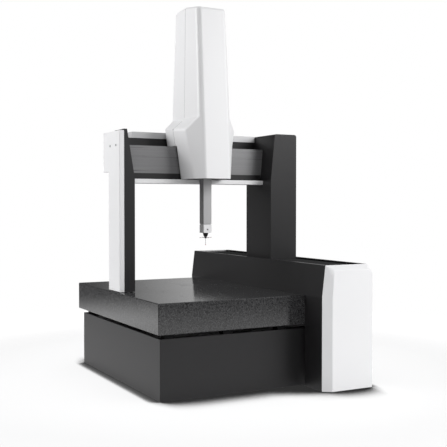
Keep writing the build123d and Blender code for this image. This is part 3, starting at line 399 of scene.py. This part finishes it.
def coat_group():
    """Sprayed or moulded skin: fine orange peel in relief and gloss, and slow changes of tone."""
    group, start, end = new_group(
        "Sprayed Coat",
        (
            ("Paint", "NodeSocketColor", (0.5, 0.5, 0.5, 1.0)),
            ("Grain", "NodeSocketFloat", 0.0016),
            ("Mottle", "NodeSocketFloat", 0.1),
            ("Gloss", "NodeSocketFloat", 0.4),
        ),
        surface_outputs,
    )
    coat_detail = 3.0
    mottle_per_metre = 2.3
    gloss_swing = 0.12
    coords = add(group, "ShaderNodeTexCoord").outputs["Object"]
    peel = noise(group, coords, calc(group, "DIVIDE", 1.0, start.outputs["Grain"]), coat_detail)
    slow = noise(group, coords, mottle_per_metre, coat_detail)
    bright = calc(group, "ADD", 1.0, swing(group, slow, start.outputs["Mottle"]))
    uneven = swing(group, peel, gloss_swing)
    group.links.new(scaled(group, start.outputs["Paint"], bright), end.inputs["Color"])
    group.links.new(calc(group, "ADD", start.outputs["Gloss"], uneven), end.inputs["Roughness"])
    group.links.new(peel, end.inputs["Height"])
    return group


def brush_group():
    """Fine machining lines along one direction, with a little tone and gloss in them."""
    group, start, end = new_group(
        "Machined Lines",
        (
            ("Metal", "NodeSocketColor", (0.5, 0.5, 0.5, 1.0)),
            ("Stretch", "NodeSocketVector", (4.0, 600.0, 600.0)),
            ("Contrast", "NodeSocketFloat", 0.25),
            ("Gloss", "NodeSocketFloat", 0.35),
        ),
        surface_outputs,
    )
    line_detail = 4.0
    drawn = add(group, "ShaderNodeVectorMath", operation="MULTIPLY")
    group.links.new(add(group, "ShaderNodeTexCoord").outputs["Object"], drawn.inputs[0])
    group.links.new(start.outputs["Stretch"], drawn.inputs[1])
    lines = noise(group, drawn.outputs["Vector"], 1.0, line_detail)
    uneven = swing(group, lines, start.outputs["Contrast"])
    tone = scaled(group, start.outputs["Metal"], calc(group, "ADD", 1.0, uneven))
    group.links.new(tone, end.inputs["Color"])
    group.links.new(calc(group, "ADD", start.outputs["Gloss"], uneven), end.inputs["Roughness"])
    group.links.new(lines, end.inputs["Height"])
    return group


def side_shade_group():
    """Painted shade: darker colour on the faces that look along X, for the shade on the sides of ram and
    probe.
    """
    group, start, end = new_group(
        "Painted Side Shade",
        (("Tone", "NodeSocketColor", (0.5, 0.5, 0.5, 1.0)), ("Share", "NodeSocketFloat", 0.5)),
        (("Color", "NodeSocketColor"),),
    )
    least_facing = 0.8
    facing = add(group, "ShaderNodeSeparateXYZ")
    group.links.new(add(group, "ShaderNodeTexCoord").outputs["Normal"], facing.inputs["Vector"])
    side = calc(group, "GREATER_THAN", calc(group, "ABSOLUTE", facing.outputs["X"]), least_facing)
    bright = calc(group, "SUBTRACT", 1.0, calc(group, "MULTIPLY", side, start.outputs["Share"]))
    group.links.new(scaled(group, start.outputs["Tone"], bright), end.inputs["Color"])
    return group


# Materials
groups = {}
materials = {}


def shader(name, metallic=0.0, specular=0.5, ior=1.5):
    """A material with a Principled shader whose plain values are set on its own sockets."""
    material = bpy.data.materials.new(name)
    material.use_nodes = True
    bsdf = material.node_tree.nodes["Principled BSDF"]
    bsdf.inputs["Metallic"].default_value = metallic
    bsdf.inputs["Specular IOR Level"].default_value = specular
    bsdf.inputs["IOR"].default_value = ior
    materials[name] = material
    return material, bsdf


def finish_with(name, group, sockets, bump, depth, **plain):
    """A material that takes colour, roughness and relief from a shared effect."""
    material, bsdf = shader(name, **plain)
    tree = material.node_tree
    effect = add(tree, "ShaderNodeGroup", node_tree=groups[group])
    for label, value in sockets.items():
        socket = effect.inputs[label]
        socket.default_value = (*value, 1.0) if socket.type == "RGBA" else value
    relief = add(tree, "ShaderNodeBump")
    relief.inputs["Strength"].default_value = bump
    relief.inputs["Distance"].default_value = depth
    tree.links.new(effect.outputs["Height"], relief.inputs["Height"])
    tree.links.new(relief.outputs["Normal"], bsdf.inputs["Normal"])
    tree.links.new(effect.outputs["Color"], bsdf.inputs["Base Color"])
    tree.links.new(effect.outputs["Roughness"], bsdf.inputs["Roughness"])


def paint_side_shade(material, loss):
    """Put the painted shade of the sides between a material's colour and its shader."""
    tree = material.node_tree
    colour_in = tree.nodes["Principled BSDF"].inputs["Base Color"]
    guide = add(tree, "ShaderNodeGroup", node_tree=groups["guide"])
    guide.inputs["Share"].default_value = loss
    tree.links.new(colour_in.links[0].from_socket, guide.inputs["Tone"])
    tree.links.new(guide.outputs["Color"], colour_in)


def make_granite(finish):
    """Dark polished granite."""
    sockets = {
        "Ground": finish.granite_dark,
        "Fleck": finish.granite_light,
        "Grain": finish.granite_grain,
        "Gloss": finish.granite_polish,
    }
    finish_with("granite", "speckle", sockets, bump=0.03, depth=0.0004, ior=1.55)


def make_coats(finish):
    """Powder coats, moulded covers, rubber, cloth, the probe's window and the stylus balls."""
    fine = finish.coat_grain
    woven = finish.coat_grain / 2
    coat_depth = 0.0002
    for name, paint, gloss, mottle, bump, grain, specular in (
        ("black_paint", finish.black, 0.42, 0.25, 0.12, fine, 0.38),
        ("white_cover", finish.white, 0.38, 0.03, 0.04, fine, 0.4),
        ("white_sheet", finish.white, 0.34, 0.03, 0.06, fine, 0.45),
        ("motor_black", finish.black, 0.5, 0.3, 0.2, fine, 0.4),
        ("rubber", finish.rubber, 0.75, 0.3, 0.3, fine, 0.1),
        ("bellows_cloth", finish.rubber, 0.62, 0.3, 0.4, woven, 0.35),
        ("dark_window", finish.rubber, 0.12, 0.05, 0.0, fine, 0.6),
        ("ruby", finish.ruby, 0.08, 0.05, 0.0, fine, 0.8),
        # Painted shade: a dark finish for the rims where the tower's covers meet, standing in for the shade
        # in that gap
        ("painted_seam_shade", finish.beam, 0.7, 0.1, 0.1, fine, 0.2),
    ):
        sockets = {"Paint": paint, "Grain": grain, "Mottle": mottle, "Gloss": gloss}
        finish_with(name, "coat", sockets, bump, coat_depth, specular=specular)


def make_metals(finish):
    """Machined, anodised and ground surfaces."""
    line_bump = 0.06
    line_depth = 0.0001
    # Noise cells per metre along X, Y and Z: few along the lines, many across them
    along_x = (3.0, 420.0, 420.0)
    drawn_x = (1.2, 110.0, 110.0)
    along_y = (420.0, 3.0, 420.0)
    along_z = (420.0, 420.0, 3.0)
    for name, metal, stretch, contrast, gloss, metallic in (
        ("beam_grey", finish.beam, drawn_x, 0.3, 0.31, 0.35),
        ("pale_metal", finish.pale_metal, along_x, 0.18, 0.34, 0.75),
        ("lid_metal", finish.lid, along_x, 0.12, 0.45, 0.2),
        ("steel", finish.steel, along_y, 0.25, 0.3, 1.0),
        ("dark_steel", finish.dark_steel, along_y, 0.25, 0.4, 0.6),
        ("ram_ceramic", finish.ceramic, along_z, 0.2, 0.34, 0.0),
        ("probe_grey", finish.probe, along_z, 0.15, 0.42, 0.0),
        ("scale_tape", finish.steel, along_y, 0.2, 0.28, 1.0),
        ("beam_scale", finish.beam, along_x, 0.15, 0.4, 0.35),
    ):
        sockets = {"Metal": metal, "Stretch": stretch, "Contrast": contrast, "Gloss": gloss}
        finish_with(name, "brush", sockets, line_bump, line_depth, metallic=metallic)
    # Painted shade: the sides of ram and probe that face along X get a darker colour
    for name in ("ram_ceramic", "probe_grey"):
        paint_side_shade(materials[name], finish.guide)


# Small tools for pieces
def dress(**finishes):
    """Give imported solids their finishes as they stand; each keyword is a solid, its value a finish."""
    for node, material in finishes.items():
        slots = frame["nodes"][node].data.materials
        slots.clear()
        slots.append(materials[material])


def body_of(node):
    """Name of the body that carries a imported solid."""
    return frame["nodes"][node]["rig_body"]


def new_piece(name, mesh, material, node):
    """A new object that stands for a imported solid, in the same finish slot."""
    mesh.materials.append(materials[material])
    piece = bpy.data.objects.new(name, mesh)
    bpy.context.scene.collection.objects.link(piece)
    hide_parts(node)
    return piece


def thin(face, width):
    """True for a strip that is narrow beside a width, such as the rim of a shell."""
    strip_width = 2.0 * face.calc_area() / face.calc_perimeter()
    return strip_width < narrow_strip * width


def shell_edge(face):
    """True for the rim of a cover that faces along the table, where the two covers meet."""
    return abs(face.normal.y) > square_on and thin(face, shell_rim)


def rounded_edge(edge, limit, width, hollow):
    """True for a corner between two broad faces; hollow lets inner corners pass as well."""
    if not edge.is_manifold or edge.calc_face_angle(0.0) < limit:
        return False
    if not (hollow or edge.is_convex):
        return False
    return not any(thin(face, width) for face in edge.link_faces)


def soften(node, material, width, segments=2, corner=22.0, flatness=0.5, finer=(), hollow=False, rim=None):
    """Stand for a solid with a copy whose edges are rounded, so that they catch light.

    Neighbouring faces that differ by fewer degrees than the flatness are merged first, and an edge is
    rounded if its faces differ by the corner's degrees or more. Edges beside strips that are too narrow
    for the width get the finer widths in turn. Inner corners are rounded where hollow says so, and the
    rim of a shell may have a finish of its own.
    """
    shape = bmesh.new()
    shape.from_mesh(frame["nodes"][node].data)
    bmesh.ops.remove_doubles(shape, verts=shape.verts, dist=weld_distance)
    bmesh.ops.dissolve_limit(
        shape,
        angle_limit=math.radians(flatness),
        use_dissolve_boundaries=False,
        verts=shape.verts,
        edges=shape.edges,
    )
    shape.normal_update()
    for face in shape.faces:
        face.material_index = int(rim is not None and shell_edge(face))
    for offset in (width, *finer):
        bmesh.ops.bevel(
            shape,
            geom=[e for e in shape.edges if rounded_edge(e, math.radians(corner), offset, hollow)],
            offset=offset,
            offset_type="OFFSET",
            segments=segments,
            profile=0.5,
            affect="EDGES",
            clamp_overlap=True,
        )
    mesh = bpy.data.meshes.new(node + "_skin")
    shape.to_mesh(mesh)
    shape.free()
    mesh.polygons.foreach_set("use_smooth", [True] * len(mesh.polygons))
    mesh.set_sharp_from_angle(angle=crease_angle)
    piece = new_piece(node + "_skin", mesh, material, node)
    if rim:
        mesh.materials.append(materials[rim])
    piece.modifiers.new("Weighted normals", "WEIGHTED_NORMAL").keep_sharp = True
    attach(piece, body_of(node))


# One operator for each group of pieces
class PieceOperator(bpy.types.Operator):
    """What the operators share."""

    bl_options = {"REGISTER", "UNDO"}


class CMM_OT_finishes(PieceOperator):
    """Build the shared effects and every material"""

    bl_idname = "cmm.finishes"
    bl_label = "Finishes"

    def execute(self, context):
        finish = context.scene.cmm_finish
        groups["speckle"] = speckle_group()
        groups["coat"] = coat_group()
        groups["brush"] = brush_group()
        groups["guide"] = side_shade_group()
        make_granite(finish)
        make_coats(finish)
        make_metals(finish)
        return {"FINISHED"}


class CMM_OT_table(PieceOperator):
    """Finish the granite table, its inserts and its guideway"""

    bl_idname = "cmm.table"
    bl_label = "Granite table"

    def execute(self, context):
        soften("granite_table", "granite", context.scene.cmm_edges.stone)
        dress(y_guideway="granite", table_inserts="dark_steel")
        return {"FINISHED"}


class CMM_OT_base(PieceOperator):
    """Finish the base, its feet and its isolators"""

    bl_idname = "cmm.base"
    bl_label = "Base"

    def execute(self, context):
        soften("base_panels", "black_paint", context.scene.cmm_edges.sheet)
        dress(base_frame="black_paint", isolators="rubber", levelling_feet="rubber")
        return {"FINISHED"}


class CMM_OT_housing(PieceOperator):
    """Finish the drive housing and its white end caps"""

    bl_idname = "cmm.housing"
    bl_label = "Drive housing"

    def execute(self, context):
        edges = context.scene.cmm_edges
        for node in ("housing_inner_wall", "housing_outer_wall", "housing_side_panels"):
            soften(node, "black_paint", edges.sheet)
        for node in ("front_end_cap", "rear_end_cap"):
            soften(node, "white_cover", edges.cap, segments=3)
        dress(housing_frame="black_paint")
        return {"FINISHED"}


class CMM_OT_bellows(PieceOperator):
    """Fold the two bellows that close the slot beside the right leg"""

    bl_idname = "cmm.bellows"
    bl_label = "Bellows"

    def execute(self, context):
        folds = context.scene.cmm_bellows
        for node, fixed_side in (("front_bellows", 0), ("rear_bellows", 1)):
            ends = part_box(node)
            piece = new_piece(node + "_cloth", self.fold(node, ends, folds), "bellows_cloth", node)
            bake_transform(piece)
        return {"FINISHED"}

    def fold(self, node, ends, folds):
        """A closed pleated sheet between the two ends of a bellows."""
        low, high = ends
        count = 2 * max(1, round((high.y - low.y) / folds.pitch))
        step = (high.y - low.y) / count
        shape = bmesh.new()
        rows = []
        for i in range(count + 1):
            y = low.y + i * step
            top = high.z - (folds.rise if i % 2 else 0.0)
            under = top - folds.thickness
            corners = ((low.x, top), (high.x, top), (high.x, under), (low.x, under))
            rows.append([shape.verts.new((x, y, z)) for x, z in corners])
        for near, far in zip(rows, rows[1:]):
            for i in range(len(near)):
                shape.faces.new((near[i], near[i - 1], far[i - 1], far[i]))
        shape.faces.new(rows[0])
        shape.faces.new(rows[-1][::-1])
        bmesh.ops.recalc_face_normals(shape, faces=shape.faces)
        mesh = bpy.data.meshes.new(node + "_cloth")
        shape.to_mesh(mesh)
        shape.free()
        return mesh


class CMM_OT_y_drive(PieceOperator):
    """Finish the belt drive that moves the bridge"""

    bl_idname = "cmm.y_drive"
    bl_label = "Bridge drive"

    def execute(self, context):
        dress(
            y_drive_rail="pale_metal",
            y_belt="rubber",
            y_motor="motor_black",
            y_scale="scale_tape",
            y_belt_clamp="steel",
            y_drive_pulley="steel",
            y_idler_pulley="steel",
        )
        return {"FINISHED"}


class CMM_OT_legs(PieceOperator):
    """Finish the bridge's legs, the left cover and the bearings under them"""

    bl_idname = "cmm.legs"
    bl_label = "Bridge legs"

    def execute(self, context):
        edges = context.scene.cmm_edges
        soften("right_leg", "black_paint", edges.leg, segments=3)
        soften("left_leg", "black_paint", edges.leg / 2)
        soften("left_leg_cover", "white_sheet", edges.sheet)
        dress(cover_screws="steel", right_saddle="pale_metal", bridge_air_bearings="pale_metal")
        return {"FINISHED"}


class CMM_OT_beam(PieceOperator):
    """Finish the beam, its trims and the duct behind it"""

    bl_idname = "cmm.beam"
    bl_label = "Beam"

    def execute(self, context):
        edges = context.scene.cmm_edges
        dress(x_beam="beam_grey")
        for node, material in (
            ("beam_lower_trim", "black_paint"),
            ("beam_ledge", "white_sheet"),
            ("rear_duct", "black_paint"),
            ("rear_duct_lid", "lid_metal"),
        ):
            soften(node, material, edges.sheet)
        return {"FINISHED"}


class CMM_OT_x_drive(PieceOperator):
    """Finish the belt drive that moves the carriage"""

    bl_idname = "cmm.x_drive"
    bl_label = "Carriage drive"

    def execute(self, context):
        dress(
            x_belt="rubber",
            x_motor="motor_black",
            x_scale="beam_scale",
            x_drive_pulley="steel",
            x_idler_pulley="steel",
        )
        return {"FINISHED"}


class CMM_OT_tower(PieceOperator):
    """Finish the tower's covers and the plate under its nose"""

    bl_idname = "cmm.tower"
    bl_label = "Tower"

    def execute(self, context):
        edges = context.scene.cmm_edges
        # Painted shade: the rims where the two covers meet get a dark finish, which draws the gap's shade as
        # a line
        for node, flatness in (("tower_front_cover", 16.0), ("tower_rear_cover", 8.0)):
            soften(
                node,
                "white_cover",
                edges.tower,
                segments=5,
                corner=20.0,
                flatness=flatness,
                finer=(edges.crown,),
                hollow=True,
                rim="painted_seam_shade",
            )
        dress(nose_plate="black_paint")
        return {"FINISHED"}


class CMM_OT_carriage(PieceOperator):
    """Finish what the tower's covers hide"""

    bl_idname = "cmm.carriage"
    bl_label = "Carriage"

    def execute(self, context):
        dress(
            carriage_block="pale_metal",
            carriage_air_bearings="pale_metal",
            carriage_brackets="steel",
            z_belt="rubber",
            z_motor="motor_black",
            z_drive_pulley="steel",
            z_idler_pulley="steel",
            counterbalance_rod="steel",
            z_belt_clamp="steel",
        )
        return {"FINISHED"}


class CMM_OT_probe(PieceOperator):
    """Finish the ram, the probe and its styli"""

    bl_idname = "cmm.probe"
    bl_label = "Ram and probe"

    def execute(self, context):
        dress(
            ram="ram_ceramic",
            probe_flange="steel",
            probe_housing="probe_grey",
            probe_lens="dark_window",
            probe_x_stage="steel",
            probe_y_stage="steel",
            stylus_carrier="motor_black",
            stylus_star="dark_steel",
            styli="ram_ceramic",
            stylus_balls="ruby",
        )
        return {"FINISHED"}


class CMM_OT_studio(PieceOperator):
    """Set up the floor, the room, the lamps and the camera"""

    bl_idname = "cmm.studio"
    bl_label = "Studio"

    def execute(self, context):
        studio = context.scene.cmm_studio
        sheet = self.floor(studio)
        self.sky(context.scene, studio)
        self.lamps(studio, sheet, bpy.data.objects["granite_table_skin"])
        self.camera(context.scene, studio)
        return {"FINISHED"}

    def floor(self, studio):
        """One pale sheet under the machine."""
        half = studio.floor_size / 2
        mesh = bpy.data.meshes.new("floor")
        corners = [(-half, -half, 0.0), (half, -half, 0.0), (half, half, 0.0), (-half, half, 0.0)]
        mesh.from_pydata(corners, [], [(0, 1, 2, 3)])
        mesh.materials.append(self.floor_paint(studio))
        sheet = bpy.data.objects.new("floor", mesh)
        bpy.context.scene.collection.objects.link(sheet)
        return sheet

    def floor_paint(self, studio):
        """Pale paint, lit near the machine, that becomes a white backdrop further out."""
        material, paint = shader("floor", specular=0.0)
        tree = material.node_tree
        paint.inputs["Roughness"].default_value = studio.floor_roughness
        place = add(tree, "ShaderNodeTexCoord").outputs["Object"]
        seen = add(tree, "ShaderNodeLightPath").outputs["Is Camera Ray"]
        shade = self.contact_shade(tree, studio, place, seen)
        tree.links.new(mixed(tree, "MULTIPLY", 1.0, (*studio.floor, 1.0), shade), paint.inputs["Base Color"])
        measure = add(tree, "ShaderNodeVectorMath", operation="LENGTH")
        tree.links.new(place, measure.inputs[0])
        away = measure.outputs["Value"]
        levels = (studio.floor_near, studio.floor_far)
        mirrored = slope(tree, away, studio.dim_start, studio.dim_end, *levels)
        backdrop = add(tree, "ShaderNodeEmission")
        backdrop.inputs["Color"].default_value = (1.0, 1.0, 1.0, 1.0)
        tree.links.new(calc(tree, "MAXIMUM", seen, mirrored), backdrop.inputs["Strength"])
        fade = slope(tree, away, studio.fade_start, studio.fade_end, 0.0, 1.0)
        self.blend(tree, fade, paint.outputs["BSDF"], backdrop.outputs["Emission"], "Material Output")
        return material

    def contact_shade(self, tree, studio, place, seen):
        """How far the machine darkens the floor: wide and deep in front, narrow at its sides.

        The camera sees the whole of it, and the light that the floor bounces back keeps more.
        """
        across = add(tree, "ShaderNodeSeparateXYZ")
        tree.links.new(place, across.inputs["Vector"])
        middle = (cad_box[0].x + cad_box[1].x) / 2
        half_width = cad_box[1].x - middle
        off_centre = calc(tree, "ABSOLUTE", calc(tree, "SUBTRACT", across.outputs["X"], middle))
        turn = (half_width - studio.turn_inside, half_width + studio.turn_outside)
        extent = slope(tree, off_centre, *turn, studio.contact_front, studio.contact_side)
        darkest = slope(tree, off_centre, *turn, studio.front_tone, studio.side_tone)
        nearby = add(tree, "ShaderNodeAmbientOcclusion")
        tree.links.new(extent, nearby.inputs["Distance"])
        shade = slope(tree, nearby.outputs["AO"], studio.closed, studio.opened, darkest, 1.0)
        bounced = calc(tree, "MULTIPLY", calc(tree, "SUBTRACT", 1.0, seen), studio.bounce)
        return calc(tree, "MAXIMUM", shade, bounced)

    def blend(self, tree, factor, first, second, output):
        """Mix two shaders into a tree's output."""
        node = add(tree, "ShaderNodeMixShader")
        tree.links.new(factor, node.inputs["Fac"])
        tree.links.new(first, node.inputs[1])
        tree.links.new(second, node.inputs[2])
        tree.links.new(node.outputs["Shader"], tree.nodes[output].inputs["Surface"])

    def sky(self, scene, studio):
        """A dim room with soft patches of light; the camera sees a white backdrop in its place."""
        world = bpy.data.worlds.new("studio")
        world.use_nodes = True
        tree = world.node_tree
        backdrop = tree.nodes["Background"]
        room = add(tree, "ShaderNodeBackground")
        for background in (backdrop, room):
            background.inputs["Color"].default_value = (1.0, 1.0, 1.0, 1.0)
        backdrop.inputs["Strength"].default_value = 1.0
        look = add(tree, "ShaderNodeTexCoord").outputs["Generated"]
        light = studio.wall
        for name, patch in room_patches.items():
            light = calc(tree, "ADD", light, self.glow(tree, look, *patch, getattr(studio, name)))
        tree.links.new(light, room.inputs["Strength"])
        seen = add(tree, "ShaderNodeLightPath").outputs["Is Camera Ray"]
        self.blend(tree, seen, room.outputs["Background"], backdrop.outputs["Background"], "World Output")
        scene.world = world

    def glow(self, tree, look, towards, inner, outer, level):
        """Brightness of a soft-edged round patch of the room."""
        facing = add(tree, "ShaderNodeVectorMath", operation="DOT_PRODUCT")
        tree.links.new(look, facing.inputs[0])
        facing.inputs[1].default_value = Vector(towards).normalized()
        edges = [math.cos(math.radians(degrees)) for degrees in (outer, inner)]
        return slope(tree, facing.outputs["Value"], *edges, 0.0, level)

    def lamps(self, studio, sheet, table):
        """Two softboxes for the machine and a lamp that lights the floor alone, without shadows.

        The polished table would mirror the key as a white patch, so the part of the key that shows in
        reflections leaves the table out, and the other part shows in none.
        """
        side = self.lamp("side_softbox", studio.side, studio.side_place, studio.side_target, studio.side_size)
        self.link_light(side, "receiver_collection", [sheet], "EXCLUDE")
        overhead = (0.0, 0.0, studio.wash_height)
        wash = self.lamp("floor_wash", studio.wash, overhead, (0.0, 0.0, 0.0), studio.wash_size)
        self.link_light(wash, "receiver_collection", [sheet], "INCLUDE")
        self.link_light(wash, "blocker_collection", [sheet], "INCLUDE")
        for name, part, mirrored, unlit in (
            ("key_softbox", studio.key_shine, True, [sheet, table]),
            ("key_diffuser", 1.0 - studio.key_shine, False, [sheet]),
        ):
            key = self.lamp(name, part * studio.key, studio.key_place, studio.key_target, studio.key_size)
            key.visible_glossy = mirrored
            self.link_light(key, "receiver_collection", unlit, "EXCLUDE")

    def lamp(self, name, watts, place, target, size):
        """A square softbox that faces a point."""
        data = bpy.data.lights.new(name, "AREA")
        data.shape = "SQUARE"
        data.size = size
        data.energy = watts
        lamp = bpy.data.objects.new(name, data)
        lamp.location = place
        lamp.rotation_euler = (Vector(target) - Vector(place)).to_track_quat("-Z", "Y").to_euler()
        lamp.visible_camera = False
        bpy.context.scene.collection.objects.link(lamp)
        return lamp

    def link_light(self, lamp, role, pieces, state):
        """Let a lamp light, or be blocked by, some pieces alone or all but some."""
        group = bpy.data.collections.new(lamp.name + "_" + role)
        for piece in pieces:
            group.objects.link(piece)
        for entry in group.collection_objects:
            entry.light_linking.link_state = state
        setattr(lamp.light_linking, role, group)

    def camera(self, scene, studio):
        """The photograph's point of view."""
        data = bpy.data.cameras.new("camera")
        data.sensor_width = studio.sensor
        data.lens = studio.lens
        data.clip_end = studio.view_depth
        eye = bpy.data.objects.new("camera", data)
        eye.location = studio.eye
        level = math.cos(studio.pitch)
        sideways = -math.sin(studio.azimuth) * level
        forwards = math.cos(studio.azimuth) * level
        ahead = Vector((sideways, forwards, -math.sin(studio.pitch)))
        eye.rotation_euler = ahead.to_track_quat("-Z", "Y").to_euler()
        scene.collection.objects.link(eye)
        scene.camera = eye
        scene.view_settings.view_transform = "Standard"


# In the order in which they run
operators = (
    CMM_OT_finishes,
    CMM_OT_table,
    CMM_OT_base,
    CMM_OT_housing,
    CMM_OT_bellows,
    CMM_OT_y_drive,
    CMM_OT_legs,
    CMM_OT_beam,
    CMM_OT_x_drive,
    CMM_OT_tower,
    CMM_OT_carriage,
    CMM_OT_probe,
    CMM_OT_studio,
)


class CMM_PT_sidebar(bpy.types.Panel):
    """Lists the steps that dress the machine"""

    bl_idname = "CMM_PT_sidebar"
    bl_label = "Measuring machine"
    bl_space_type = "VIEW_3D"
    bl_region_type = "UI"
    bl_category = "Measuring machine"

    def draw(self, context):
        for operator in operators:
            self.layout.operator(operator.bl_idname)


settings = {
    "cmm_finish": FinishSettings,
    "cmm_edges": EdgeSettings,
    "cmm_bellows": BellowsSettings,
    "cmm_studio": StudioSettings,
}


def register():
    """Register the classes and hang the settings on the scene."""
    for kind in (*settings.values(), *operators, CMM_PT_sidebar):
        bpy.utils.register_class(kind)
    for name, kind in settings.items():
        setattr(bpy.types.Scene, name, PointerProperty(type=kind))


def unregister():
    """Take the settings off the scene and the classes out again."""
    for name in settings:
        delattr(bpy.types.Scene, name)
    for kind in reversed((*settings.values(), *operators, CMM_PT_sidebar)):
        bpy.utils.unregister_class(kind)


def main():
    """Dress the machine step by step."""
    register()
    for operator in operators:
        family, step = operator.bl_idname.split(".")
        getattr(getattr(bpy.ops, family), step)()
    bpy.context.view_layer.update()


if __name__ == "__main__":
    main()
